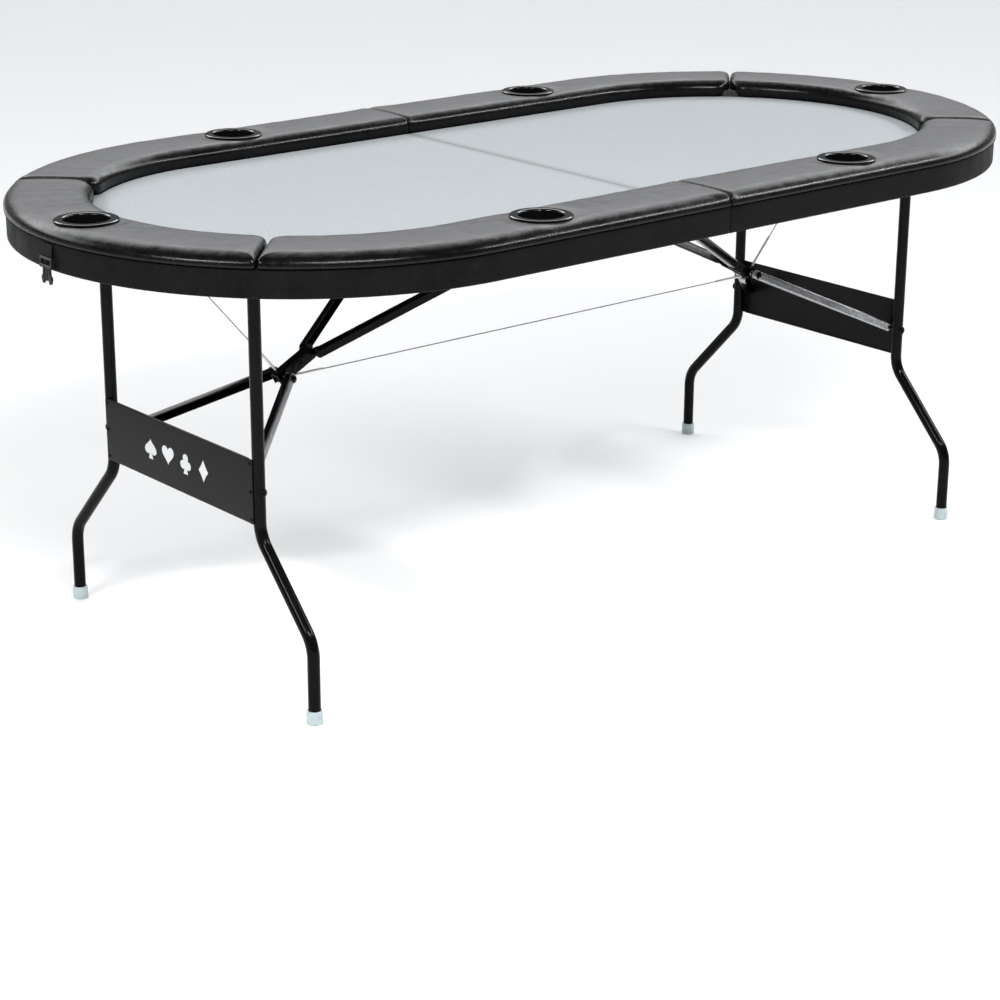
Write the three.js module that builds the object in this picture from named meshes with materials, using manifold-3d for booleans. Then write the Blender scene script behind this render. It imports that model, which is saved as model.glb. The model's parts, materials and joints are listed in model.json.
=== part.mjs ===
// Folding six-seat poker table, unfolded and standing on its two leg sets.
// Millimetres, +Z up, X along the length, Y across it. The origin is on the floor under the middle seam.
// Both halves are the same: the right half is the left half turned half a turn about Z.
import * as THREE from 'three';
import { mergeVertices } from 'three/addons/utils/BufferGeometryUtils.js';
import Module from 'manifold-3d';

const wasm = await Module();
wasm.setup();

// Driving dimensions: the top
const TABLE_LENGTH = 1829;
const TABLE_WIDTH = 914.4;
const APRON_BOTTOM = 652;
const DECK_BOTTOM = 675;
const DECK_TOP = 684;
const CLOTH_THICKNESS = 2;
const CORE_TOP = 697;
const PAD_TOP = 715.5;
const CUP_TOP = 718;
const RAIL_WIDTH = 130;
const PAD_SKIRT = 8;
const APRON_INSET = 3;
const APRON_THICKNESS = 12;
const SEAM_BOARD_THICKNESS = 12;
const PAD_SPLIT_WIDTH = 1;
const GAP = 0.3;

// Cup holders
const CUP_OFFSET = 67;
const CUP_ALONG = 325;
const CUP_OUTER_RADIUS = 35.5;
const CUP_WALL = 2;
const CUP_FLANGE_RADIUS = 47;
const CUP_BOTTOM = 668;

// Leg sets
const LEG_X = 700;
const LEG_PIVOT_Z = 662;
const CROSSBAR_RADIUS = 8;
const CROSSBAR_HALF_LENGTH = 252;
const SADDLE_Y = 236;
const SADDLE_STRIP_THICKNESS = 1.4;
const SADDLE_STRIP_WIDTH = 30;
const SADDLE_STRIP_OVERHANG = 14;
const SADDLE_BLOCK_LENGTH = 24;
const SADDLE_BLOCK_WIDTH = 16;
const SADDLE_WALL = 2.5;
const TUBE_RADIUS = 10;
const TUBE_Y = 199;
const FOOT_Y = 326;
const UPPER_BEND_Z = 257;
const LOWER_BEND_Z = 123;
const BEND_RADIUS = 55;
const FOOT_RADIUS = 12.5;
const FOOT_HEIGHT = 21;
const FOOT_SOLE = 3;
const PLATE_BOTTOM = 275;
const PLATE_TOP = 376;
const PLATE_THICKNESS = 1.2;

// Leg braces: two lower arms from the tubes to the knee, two upper arms from the knee to the deck
const BRACE_BOLT_Z = 325;
const BRACE_ANCHOR_X = 50;
const ARM_HEIGHT = 15;
const ARM_WIDTH = 12;
const ARM_WALL = 2;
const LOWER_ARM_BOLT_Y = 174;
const LOWER_ARM_KNEE_Y = 21.5;
const UPPER_ARM_KNEE_Y = 17.2;
const UPPER_ARM_ANCHOR_Y = 215;
const UPPER_ARM_START = 60;
const KNEE_HALF_WIDTH = 9.5;
const KNEE_HALF_HEIGHT = 9;
const KNEE_TAIL = 12;
const KNEE_REACH = 62;
const BOLT_RADIUS = 3;
const BOLT_HEAD_RADIUS = 6;
const ARM_END_CLEARANCE = 0.8;
const ARM_TRIM = 12;
const ANCHOR_ROD_RADIUS = 4;
const ANCHOR_ROD_OVERHANG = 22;
const WIRE_RADIUS = 0.9;
const WIRE_DROP = 4;
const WIRE_INSET = 4;
const STAY_WIRE_END_X = -736;

// Strap and buckle at each end
const STRAP_WIDTH = 25;
const STRAP_THICKNESS = 1.6;
const STRAP_TOP = 694;
const STRAP_BOTTOM = 672;
const BUCKLE_THICKNESS = 7;
const BUCKLE_BOTTOM = 632;

// Middle hinge
const HINGE_HALF_LENGTH = 150;
const HINGE_LEAF_WIDTH = 26;
const HINGE_LEAF_THICKNESS = 1.5;
const HINGE_KNUCKLE_RADIUS = 2.4;
const HINGE_PIN_RADIUS = 1.1;
const HINGE_Z = 649.2;
const HINGE_KNUCKLES = 3;

const OUTER_RADIUS = TABLE_WIDTH / 2;
const END_CENTRE = TABLE_LENGTH / 2 - OUTER_RADIUS;
const INNER_RADIUS = OUTER_RADIUS - RAIL_WIDTH;
const BOARD_RADIUS = OUTER_RADIUS - APRON_INSET - APRON_THICKNESS - GAP;
const CLOTH_RADIUS = INNER_RADIUS + PAD_SKIRT;
const CLOTH_TOP = DECK_TOP + GAP + CLOTH_THICKNESS;
const ARC_SEGMENTS = 28;
const CUP_SEGMENTS = 20;
const TUBE_SIDES = 10;
const TUBE_STEPS = 26;
// Half the length of a cutter that goes right through the table.
const CUTTER_REACH = 300;

const COLOURS = {
  vinyl: [0x1a1a1b, 0.35, 0],
  apron: [0x232324, 0.7, 0],
  cloth: [0xced4d8, 0.95, 0],
  board: [0x2b2926, 0.7, 0],
  cup: [0x0d0d0e, 0.3, 0],
  steel: [0x141415, 0.3, 0.2],
  plate: [0x303032, 0.5, 0.2],
  zinc: [0x9aa0a5, 0.4, 0.9],
  cap: [0xc3d4d7, 0.5, 0],
  webbing: [0x161616, 0.9, 0],
};

const model = new THREE.Group();

// ---- helpers --------------------------------------------------------------------------------

function material(slot) {
  const [color, roughness, metalness] = COLOURS[slot];
  return new THREE.MeshStandardMaterial({ color, roughness, metalness });
}

function toSolid(geometry) {
  const bare = geometry.clone();
  bare.deleteAttribute('normal');
  bare.deleteAttribute('uv');
  const merged = mergeVertices(bare, 1e-4);
  return new wasm.Manifold(new wasm.Mesh({
    numProp: 3,
    vertProperties: new Float32Array(merged.attributes.position.array),
    triVerts: new Uint32Array(merged.index.array),
  }));
}

function toGeometry(solid) {
  const mesh = solid.getMesh();
  const geometry = new THREE.BufferGeometry();
  geometry.setAttribute('position', new THREE.BufferAttribute(new Float32Array(mesh.vertProperties), 3));
  geometry.setIndex(new THREE.BufferAttribute(new Uint32Array(mesh.triVerts), 1));
  geometry.computeVertexNormals();
  return geometry;
}

function add(parent, name, geometry, slot) {
  const mesh = new THREE.Mesh(geometry, material(slot));
  mesh.name = name;
  parent.add(mesh);
  return mesh;
}

// A flat outline in X and Y, raised from one height to another.
function prism(shape, bottom, top, curveSegments = ARC_SEGMENTS) {
  const geometry = new THREE.ExtrudeGeometry(shape, { depth: top - bottom, bevelEnabled: false, curveSegments });
  return geometry.translate(0, 0, bottom);
}

// A flat outline in X and Z, given as (x, z), spread across Y from y0 to y1.
function crossPrism(shape, y0, y1, curveSegments = 4) {
  const geometry = new THREE.ExtrudeGeometry(shape, { depth: y1 - y0, bevelEnabled: false, curveSegments });
  return geometry.rotateX(Math.PI / 2).translate(0, y1, 0);
}

function boxBetween(low, high) {
  const size = high.map((value, i) => value - low[i]);
  const centre = high.map((value, i) => (value + low[i]) / 2);
  return new THREE.BoxGeometry(...size).translate(...centre);
}

function cylinderAlongY(x, z, radius, y0, y1, sides = TUBE_SIDES) {
  return new THREE.CylinderGeometry(radius, radius, y1 - y0, sides).translate(x, (y0 + y1) / 2, z);
}

function rodBetween(start, end, radius, sides = 8) {
  const along = end.clone().sub(start);
  const turn = new THREE.Quaternion().setFromUnitVectors(new THREE.Vector3(0, 1, 0), along.clone().normalize());
  const middle = start.clone().add(end).multiplyScalar(0.5);
  return new THREE.CylinderGeometry(radius, radius, along.length(), sides)
    .applyQuaternion(turn)
    .translate(middle.x, middle.y, middle.z);
}

// The plan outline of one half, with straight sides and a round end.
function halfOutline(radius, seamX) {
  const shape = new THREE.Shape();
  shape.moveTo(seamX, -radius);
  shape.lineTo(seamX, radius);
  shape.lineTo(-END_CENTRE, radius);
  shape.absarc(-END_CENTRE, 0, radius, Math.PI / 2, 1.5 * Math.PI, false);
  shape.lineTo(seamX, -radius);
  return shape;
}

// A U-shaped band between two offsets of the same outline.
function halfBand(outerRadius, innerRadius, seamX) {
  const shape = new THREE.Shape();
  shape.moveTo(seamX, innerRadius);
  shape.lineTo(seamX, outerRadius);
  shape.lineTo(-END_CENTRE, outerRadius);
  shape.absarc(-END_CENTRE, 0, outerRadius, Math.PI / 2, 1.5 * Math.PI, false);
  shape.lineTo(seamX, -outerRadius);
  shape.lineTo(seamX, -innerRadius);
  shape.lineTo(-END_CENTRE, -innerRadius);
  shape.absarc(-END_CENTRE, 0, innerRadius, 1.5 * Math.PI, Math.PI / 2, true);
  shape.lineTo(seamX, innerRadius);
  return shape;
}

const CUP_CENTRES = {
  end: [-(TABLE_LENGTH / 2 - CUP_OFFSET), 0],
  far: [-CUP_ALONG, OUTER_RADIUS - CUP_OFFSET],
  near: [-CUP_ALONG, -(OUTER_RADIUS - CUP_OFFSET)],
};

const CUP_HOLE_RADIUS = CUP_FLANGE_RADIUS - 3;

function cupHole([x, y]) {
  const rim = new THREE.EllipseCurve(x, y, CUP_HOLE_RADIUS, CUP_HOLE_RADIUS, 0, 2 * Math.PI, true);
  return new THREE.Path(rim.getPoints(CUP_SEGMENTS).slice(1));
}

// ---- the top --------------------------------------------------------------------------------

function deckBoard() {
  const shape = halfOutline(BOARD_RADIUS, -GAP);
  shape.holes = Object.values(CUP_CENTRES).map(cupHole);
  return prism(shape, DECK_BOTTOM, DECK_TOP);
}

function playingCloth() {
  return prism(halfOutline(CLOTH_RADIUS - GAP, -GAP), DECK_TOP + GAP, CLOTH_TOP);
}

function railCore() {
  const shape = halfBand(BOARD_RADIUS, CLOTH_RADIUS + GAP, -GAP);
  shape.holes = Object.values(CUP_CENTRES).map(cupHole);
  return prism(shape, DECK_TOP + GAP, CORE_TOP);
}

// The apron band round the outside, with the board that closes the half at the seam.
function apron() {
  const outer = OUTER_RADIUS - APRON_INSET;
  const inner = outer - APRON_THICKNESS;
  const band = toSolid(prism(halfBand(outer, inner, -GAP), APRON_BOTTOM, CORE_TOP));
  const board = toSolid(boxBetween(
    [-GAP - SEAM_BOARD_THICKNESS, -inner - 1, APRON_BOTTOM],
    [-GAP, inner + 1, DECK_BOTTOM - GAP],
  ));
  return toGeometry(band.add(board));
}

// The padded rail's section, as distance from the middle line and height.
function padSection() {
  const out = OUTER_RADIUS;
  const inn = INNER_RADIUS;
  const floor = CORE_TOP + GAP;
  const lip = CLOTH_TOP + GAP;
  return [
    [out - 3, floor], [out - 0.6, floor + 2], [out, floor + 7], [out - 2.2, PAD_TOP - 4.5],
    [out - 8, PAD_TOP - 1.2], [out - 18, PAD_TOP], [inn + 18, PAD_TOP], [inn + 8, PAD_TOP - 1.2],
    [inn + 2.2, PAD_TOP - 4.5], [inn, PAD_TOP - 9], [inn + 2, lip], [inn + PAD_SKIRT, lip],
    [inn + PAD_SKIRT, floor],
  ].map(([d, z]) => new THREE.Vector2(d, z));
}

function padRing() {
  const section = padSection();
  const lathe = new THREE.LatheGeometry([...section, section[0]], 2 * ARC_SEGMENTS);
  return toSolid(lathe.rotateX(Math.PI / 2).translate(-END_CENTRE, 0, 0));
}

// A wedge of the plan round the end's centre, between two angles.
function wedge(from, to) {
  const reach = TABLE_WIDTH;
  const shape = new THREE.Shape();
  shape.moveTo(-END_CENTRE, 0);
  const steps = 2;
  for (let i = 0; i <= steps; i += 1) {
    const angle = from + ((to - from) * i) / steps;
    shape.lineTo(-END_CENTRE + reach * Math.cos(angle), reach * Math.sin(angle));
  }
  shape.lineTo(-END_CENTRE, 0);
  return toSolid(prism(shape, 0, CUP_TOP));
}

function padSplit(angle) {
  const half = PAD_SPLIT_WIDTH / 2;
  const slot = boxBetween([0, -half, 0], [TABLE_WIDTH, half, CUP_TOP]).rotateZ(angle);
  return toSolid(slot.translate(-END_CENTRE, 0, 0));
}

function padStraight(side) {
  const shape = new THREE.Shape(padSection().map(({ x, y }) => new THREE.Vector2(side * x, y)));
  const length = END_CENTRE - PAD_SPLIT_WIDTH / 2;
  const bar = new THREE.ExtrudeGeometry(shape, { depth: length, bevelEnabled: false });
  const stand = new THREE.Matrix4().makeBasis(
    new THREE.Vector3(0, 1, 0),
    new THREE.Vector3(0, 0, 1),
    new THREE.Vector3(1, 0, 0),
  );
  return toSolid(bar.applyMatrix4(stand).translate(-END_CENTRE, 0, 0));
}

function cupBore(place) {
  const [x, y] = CUP_CENTRES[place];
  const bore = new THREE.CylinderGeometry(CUP_HOLE_RADIUS, CUP_HOLE_RADIUS, 200, CUP_SEGMENTS);
  return toSolid(bore.rotateX(Math.PI / 2).translate(x, y, PAD_TOP));
}

function railPad(place) {
  const diagonal = 0.75 * Math.PI;
  if (place === 'end') {
    return toGeometry(padRing()
      .intersect(wedge(diagonal, 2 * Math.PI - diagonal))
      .subtract(padSplit(diagonal))
      .subtract(padSplit(-diagonal))
      .subtract(cupBore('end')));
  }
  const side = place === 'far' ? 1 : -1;
  const [from, to] = side > 0 ? [Math.PI / 2, diagonal] : [-diagonal, -Math.PI / 2];
  return toGeometry(padRing()
    .intersect(wedge(from, to))
    .subtract(padSplit(side * diagonal))
    .add(padStraight(side))
    .subtract(cupBore(place)));
}

function cup(place) {
  const [x, y] = CUP_CENTRES[place];
  const outer = CUP_OUTER_RADIUS;
  const inner = outer - CUP_WALL;
  const flangeBottom = PAD_TOP + GAP;
  const profile = [
    [0, CUP_BOTTOM], [outer, CUP_BOTTOM], [outer, flangeBottom], [CUP_FLANGE_RADIUS, flangeBottom],
    [CUP_FLANGE_RADIUS, CUP_TOP - 1], [CUP_FLANGE_RADIUS - 2, CUP_TOP], [inner, CUP_TOP],
    [inner, CUP_BOTTOM + CUP_WALL], [0, CUP_BOTTOM + CUP_WALL],
  ].map(([r, z]) => new THREE.Vector2(r, z));
  return new THREE.LatheGeometry(profile, CUP_SEGMENTS).rotateX(Math.PI / 2).translate(x, y, 0);
}

// ---- the leg set ----------------------------------------------------------------------------

function crossbar() {
  return cylinderAlongY(-LEG_X, LEG_PIVOT_Z, CROSSBAR_RADIUS, -CROSSBAR_HALF_LENGTH, CROSSBAR_HALF_LENGTH, 12);
}

// A strip under the deck with a saddle round each end of the crossbar.
function pivotSaddle() {
  const stripTop = DECK_BOTTOM - GAP;
  const strip = boxBetween(
    [-LEG_X - SADDLE_STRIP_WIDTH / 2, -SADDLE_Y - SADDLE_STRIP_OVERHANG, stripTop - SADDLE_STRIP_THICKNESS],
    [-LEG_X + SADDLE_STRIP_WIDTH / 2, SADDLE_Y + SADDLE_STRIP_OVERHANG, stripTop],
  );
  const halfLength = SADDLE_BLOCK_LENGTH / 2;
  const halfWidth = SADDLE_BLOCK_WIDTH / 2;
  let solid = toSolid(strip);
  for (const side of [-1, 1]) {
    const block = boxBetween(
      [-LEG_X - halfLength, side * SADDLE_Y - halfWidth, LEG_PIVOT_Z - CROSSBAR_RADIUS - SADDLE_WALL],
      [-LEG_X + halfLength, side * SADDLE_Y + halfWidth, stripTop - SADDLE_STRIP_THICKNESS / 2],
    );
    solid = solid.add(toSolid(block));
  }
  const bore = cylinderAlongY(-LEG_X, LEG_PIVOT_Z, CROSSBAR_RADIUS + GAP, -CUTTER_REACH, CUTTER_REACH, 12);
  return toGeometry(solid.subtract(toSolid(bore)));
}

// The tube's middle line in Y and Z: down, outward at a slant, and down again, with round bends.
class LegLine extends THREE.CurvePath {
  constructor(side) {
    super();
    const corners = [
      [TUBE_Y, LEG_PIVOT_Z - CROSSBAR_RADIUS - GAP], [TUBE_Y, UPPER_BEND_Z],
      [FOOT_Y, LOWER_BEND_Z], [FOOT_Y, FOOT_SOLE],
    ].map(([y, z]) => new THREE.Vector3(-LEG_X, side * y, z));
    const slant = Math.atan2(FOOT_Y - TUBE_Y, UPPER_BEND_Z - LOWER_BEND_Z);
    const cut = BEND_RADIUS * Math.tan(slant / 2);
    let from = corners[0];
    for (let i = 1; i < corners.length - 1; i += 1) {
      const before = corners[i - 1].clone().sub(corners[i]).setLength(cut).add(corners[i]);
      const after = corners[i + 1].clone().sub(corners[i]).setLength(cut).add(corners[i]);
      this.add(new THREE.LineCurve3(from, before));
      this.add(new THREE.QuadraticBezierCurve3(before, corners[i], after));
      from = after;
    }
    this.add(new THREE.LineCurve3(from, corners[corners.length - 1]));
  }
}

function legTube(side) {
  const section = new THREE.Shape();
  section.absarc(0, 0, TUBE_RADIUS, 0, 2 * Math.PI, false);
  const tube = new THREE.ExtrudeGeometry(section, {
    extrudePath: new LegLine(side),
    steps: TUBE_STEPS,
    curveSegments: TUBE_SIDES / 2,
    bevelEnabled: false,
  });
  const hole = cylinderAlongY(-LEG_X, BRACE_BOLT_Z, BOLT_RADIUS + GAP, TUBE_Y - 15, TUBE_Y + 15, 12);
  if (side < 0) hole.translate(0, -2 * TUBE_Y, 0);
  return toGeometry(toSolid(tube).subtract(toSolid(hole)));
}

function footCap(side) {
  const inner = TUBE_RADIUS + GAP;
  const profile = [
    [0, 0], [FOOT_RADIUS, 0], [FOOT_RADIUS - 0.5, FOOT_HEIGHT],
    [inner, FOOT_HEIGHT], [inner, FOOT_SOLE - GAP], [0, FOOT_SOLE - GAP],
  ].map(([r, z]) => new THREE.Vector2(r, z));
  return new THREE.LatheGeometry(profile, 16).rotateX(Math.PI / 2).translate(-LEG_X, side * FOOT_Y, 0);
}

function legPlate() {
  const face = -LEG_X - TUBE_RADIUS - GAP;
  return boxBetween([face - PLATE_THICKNESS, -TUBE_Y, PLATE_BOTTOM], [face, TUBE_Y, PLATE_TOP]);
}

function braceBolt(side) {
  const inner = LOWER_ARM_BOLT_Y - 9;
  const outer = TUBE_Y + TUBE_RADIUS + GAP;
  const profile = [
    [0, inner], [BOLT_RADIUS, inner], [BOLT_RADIUS, outer], [BOLT_HEAD_RADIUS, outer],
    [BOLT_HEAD_RADIUS - 1, outer + 3], [0, outer + 4],
  ].map(([r, y]) => new THREE.Vector2(r, y));
  const bolt = new THREE.LatheGeometry(profile, 12);
  if (side < 0) bolt.rotateX(Math.PI);
  return bolt.translate(-LEG_X, 0, BRACE_BOLT_Z);
}

// ---- the brace ------------------------------------------------------------------------------

const BOLT_POINT = new THREE.Vector2(-LEG_X, BRACE_BOLT_Z);
const ANCHOR_POINT = new THREE.Vector2(-BRACE_ANCHOR_X, LEG_PIVOT_Z);
const BRACE_DIRECTION = ANCHOR_POINT.clone().sub(BOLT_POINT).normalize();
const BRACE_SPAN = ANCHOR_POINT.distanceTo(BOLT_POINT);
// When the leg set lies flat the bolt is this far from the anchor, and the lower arm lies back on itself.
const FOLDED_SPAN = -BRACE_ANCHOR_X + LEG_X - (LEG_PIVOT_Z - BRACE_BOLT_Z);
const LOWER_ARM_LENGTH = (BRACE_SPAN - FOLDED_SPAN) / 2;
const KNEE_POINT = BOLT_POINT.clone().addScaledVector(BRACE_DIRECTION, LOWER_ARM_LENGTH);

function onBrace(distanceFromKnee) {
  return KNEE_POINT.clone().addScaledVector(BRACE_DIRECTION, distanceFromKnee);
}

function lift(point, y) {
  return new THREE.Vector3(point.x, y, point.y);
}

// A straight U channel from one point to another, open towards the middle of the table.
function channel(start, end, extraStart, extraEnd) {
  const along = end.clone().sub(start).normalize();
  const inward = new THREE.Vector3(0, -Math.sign(start.y), 0);
  inward.addScaledVector(along, -inward.dot(along)).normalize();
  const up = along.clone().cross(inward);
  const w = ARM_WIDTH / 2;
  const h = ARM_HEIGHT / 2;
  const t = ARM_WALL;
  const shape = new THREE.Shape([
    [-w, -h], [w, -h], [w, -h + t], [-w + t, -h + t], [-w + t, h - t], [w, h - t], [w, h], [-w, h],
  ].map(([a, b]) => new THREE.Vector2(a, b)));
  const length = end.distanceTo(start) + extraStart + extraEnd;
  const bar = new THREE.ExtrudeGeometry(shape, { depth: length, bevelEnabled: false });
  const place = new THREE.Matrix4().makeBasis(inward, up, along);
  place.setPosition(start.clone().addScaledVector(along, -extraStart));
  return toSolid(bar.applyMatrix4(place));
}

// Rounds an arm's ends about its pivots: the outline in X and Z is a slot shape.
function roundedEnds(start, end) {
  const radius = ARM_HEIGHT / 2 + ARM_END_CLEARANCE;
  const heading = Math.atan2(end.y - start.y, end.x - start.x);
  const shape = new THREE.Shape();
  shape.absarc(end.x, end.y, radius, heading - Math.PI / 2, heading + Math.PI / 2, false);
  shape.absarc(start.x, start.y, radius, heading + Math.PI / 2, heading + 1.5 * Math.PI, false);
  shape.closePath();
  return toSolid(crossPrism(shape, -CUTTER_REACH, CUTTER_REACH));
}

function pivotHole(point, radius) {
  return toSolid(cylinderAlongY(point.x, point.y, radius, -CUTTER_REACH, CUTTER_REACH, 12));
}

function lowerArm(side) {
  const start = lift(BOLT_POINT, side * LOWER_ARM_BOLT_Y);
  const end = lift(KNEE_POINT, side * LOWER_ARM_KNEE_Y);
  return toGeometry(channel(start, end, ARM_TRIM, ARM_TRIM)
    .intersect(roundedEnds(BOLT_POINT, KNEE_POINT))
    .subtract(pivotHole(BOLT_POINT, BOLT_RADIUS + GAP))
    .subtract(pivotHole(KNEE_POINT, BOLT_RADIUS + GAP)));
}

function upperArm(side) {
  const start = onBrace(UPPER_ARM_START);
  const end = lift(ANCHOR_POINT, side * UPPER_ARM_ANCHOR_Y);
  return toGeometry(channel(lift(start, side * UPPER_ARM_KNEE_Y), end, 0, ARM_TRIM)
    .intersect(roundedEnds(start, ANCHOR_POINT))
    .subtract(pivotHole(ANCHOR_POINT, ANCHOR_ROD_RADIUS + GAP)));
}

// A narrow channel, open below, that joins the upper arms to the pivot of the lower arms.
function kneeBracket() {
  const w = KNEE_HALF_WIDTH;
  const h = KNEE_HALF_HEIGHT;
  const t = ARM_WALL;
  const shape = new THREE.Shape([
    [-w, -h], [-w + t, -h], [-w + t, h - t], [w - t, h - t], [w - t, -h], [w, -h], [w, h], [-w, h],
  ].map(([a, b]) => new THREE.Vector2(a, b)).reverse());
  const bar = new THREE.ExtrudeGeometry(shape, { depth: KNEE_TAIL + KNEE_REACH, bevelEnabled: false });
  const along = lift(BRACE_DIRECTION, 0);
  const across = new THREE.Vector3(0, 1, 0);
  const place = new THREE.Matrix4().makeBasis(across, along.clone().cross(across), along);
  place.setPosition(lift(onBrace(-KNEE_TAIL), 0));
  const solid = toSolid(bar.applyMatrix4(place));
  return toGeometry(solid.subtract(pivotHole(KNEE_POINT, BOLT_RADIUS + GAP)));
}

// A rod across the underside that both upper arms turn on, held by a lug at each end.
function braceAnchor() {
  const reach = UPPER_ARM_ANCHOR_Y + ANCHOR_ROD_OVERHANG;
  const top = DECK_BOTTOM - GAP;
  let solid = toSolid(cylinderAlongY(ANCHOR_POINT.x, ANCHOR_POINT.y, ANCHOR_ROD_RADIUS, -reach, reach, 12));
  for (const side of [-1, 1]) {
    const lug = boxBetween(
      [ANCHOR_POINT.x - 7, side * reach - 2, ANCHOR_POINT.y - 7],
      [ANCHOR_POINT.x + 7, side * reach + 2, top],
    );
    const foot = boxBetween(
      [ANCHOR_POINT.x - 14, side * reach - 12, top - 2],
      [ANCHOR_POINT.x + 14, side * reach + 12, top],
    );
    solid = solid.add(toSolid(lug)).add(toSolid(foot));
  }
  return toGeometry(solid);
}

// ---- wires, strap and hinge -----------------------------------------------------------------

// Half of the long wire from knee to knee. It leaves the bracket through its open underside.
function kneeWire() {
  const start = new THREE.Vector3(KNEE_POINT.x + WIRE_INSET, 0, KNEE_POINT.y - WIRE_DROP);
  return rodBetween(start, new THREE.Vector3(-GAP, 0, start.z), WIRE_RADIUS);
}

// The short wire from the top of the knee bracket to the underside near the end of the table.
function stayWire() {
  const upward = new THREE.Vector2(-BRACE_DIRECTION.y, BRACE_DIRECTION.x);
  const start = onBrace(-WIRE_INSET).addScaledVector(upward, KNEE_HALF_HEIGHT + 2 * GAP);
  const end = new THREE.Vector2(STAY_WIRE_END_X, DECK_BOTTOM - 1.5);
  return rodBetween(lift(start, 0), lift(end, 0), WIRE_RADIUS);
}

const STRAP_X = -(TABLE_LENGTH / 2 - APRON_INSET + 1 + STRAP_THICKNESS / 2);

function strap() {
  return boxBetween(
    [STRAP_X - STRAP_THICKNESS / 2, -STRAP_WIDTH / 2, STRAP_BOTTOM],
    [STRAP_X + STRAP_THICKNESS / 2, STRAP_WIDTH / 2, STRAP_TOP],
  );
}

// One half of a side-release buckle: a bar for the strap and a tongue that flares at its tip.
function buckle() {
  const top = STRAP_BOTTOM - GAP;
  const shape = new THREE.Shape([
    [-16, top], [-16, top - 13], [-8, top - 17], [-7, top - 24], [-14, BUCKLE_BOTTOM + 3],
    [-11, BUCKLE_BOTTOM], [11, BUCKLE_BOTTOM], [14, BUCKLE_BOTTOM + 3], [7, top - 24], [8, top - 17],
    [16, top - 13], [16, top],
  ].map(([y, z]) => new THREE.Vector2(y, z)));
  const hole = new THREE.Path();
  hole.absarc(0, BUCKLE_BOTTOM + 6.5, 2.5, 0, 2 * Math.PI, true);
  shape.holes.push(hole);
  const bar = new THREE.ExtrudeGeometry(shape, { depth: BUCKLE_THICKNESS, bevelEnabled: false, curveSegments: 5 });
  const stand = new THREE.Matrix4().makeBasis(
    new THREE.Vector3(0, 1, 0),
    new THREE.Vector3(0, 0, 1),
    new THREE.Vector3(1, 0, 0),
  );
  return bar.applyMatrix4(stand).translate(STRAP_X + STRAP_THICKNESS / 2 - BUCKLE_THICKNESS, 0, 0);
}

// One leaf of the middle hinge on the left (-1) or right (+1). The left leaf carries the pin.
function hingeLeaf(side) {
  const knuckle = (2 * HINGE_HALF_LENGTH) / HINGE_KNUCKLES;
  const leafTop = APRON_BOTTOM - GAP;
  const inner = HINGE_KNUCKLE_RADIUS + 0.6;
  const leaf = boxBetween(
    [Math.min(side * inner, side * HINGE_LEAF_WIDTH), -HINGE_HALF_LENGTH, leafTop - HINGE_LEAF_THICKNESS],
    [Math.max(side * inner, side * HINGE_LEAF_WIDTH), HINGE_HALF_LENGTH, leafTop],
  );
  let solid = toSolid(leaf);
  for (let i = 0; i < HINGE_KNUCKLES; i += 1) {
    const mine = (i % 2 === 0) === (side < 0);
    if (!mine) continue;
    const y0 = -HINGE_HALF_LENGTH + i * knuckle + GAP;
    const y1 = y0 + knuckle - 2 * GAP;
    const barrel = cylinderAlongY(0, HINGE_Z, HINGE_KNUCKLE_RADIUS, y0, y1, 12);
    const tab = boxBetween(
      [Math.min(0, side * (inner + 1)), y0, HINGE_Z],
      [Math.max(0, side * (inner + 1)), y1, HINGE_Z + 1.4],
    );
    solid = solid.add(toSolid(barrel)).add(toSolid(tab));
  }
  if (side < 0) {
    const reach = HINGE_HALF_LENGTH - 2;
    return toGeometry(solid.add(toSolid(cylinderAlongY(0, HINGE_Z, HINGE_PIN_RADIUS, -reach, reach, 10))));
  }
  const bore = cylinderAlongY(0, HINGE_Z, HINGE_PIN_RADIUS + GAP, -HINGE_HALF_LENGTH, HINGE_HALF_LENGTH, 10);
  return toGeometry(solid.subtract(toSolid(bore)));
}

// ---- assembly -------------------------------------------------------------------------------

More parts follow.
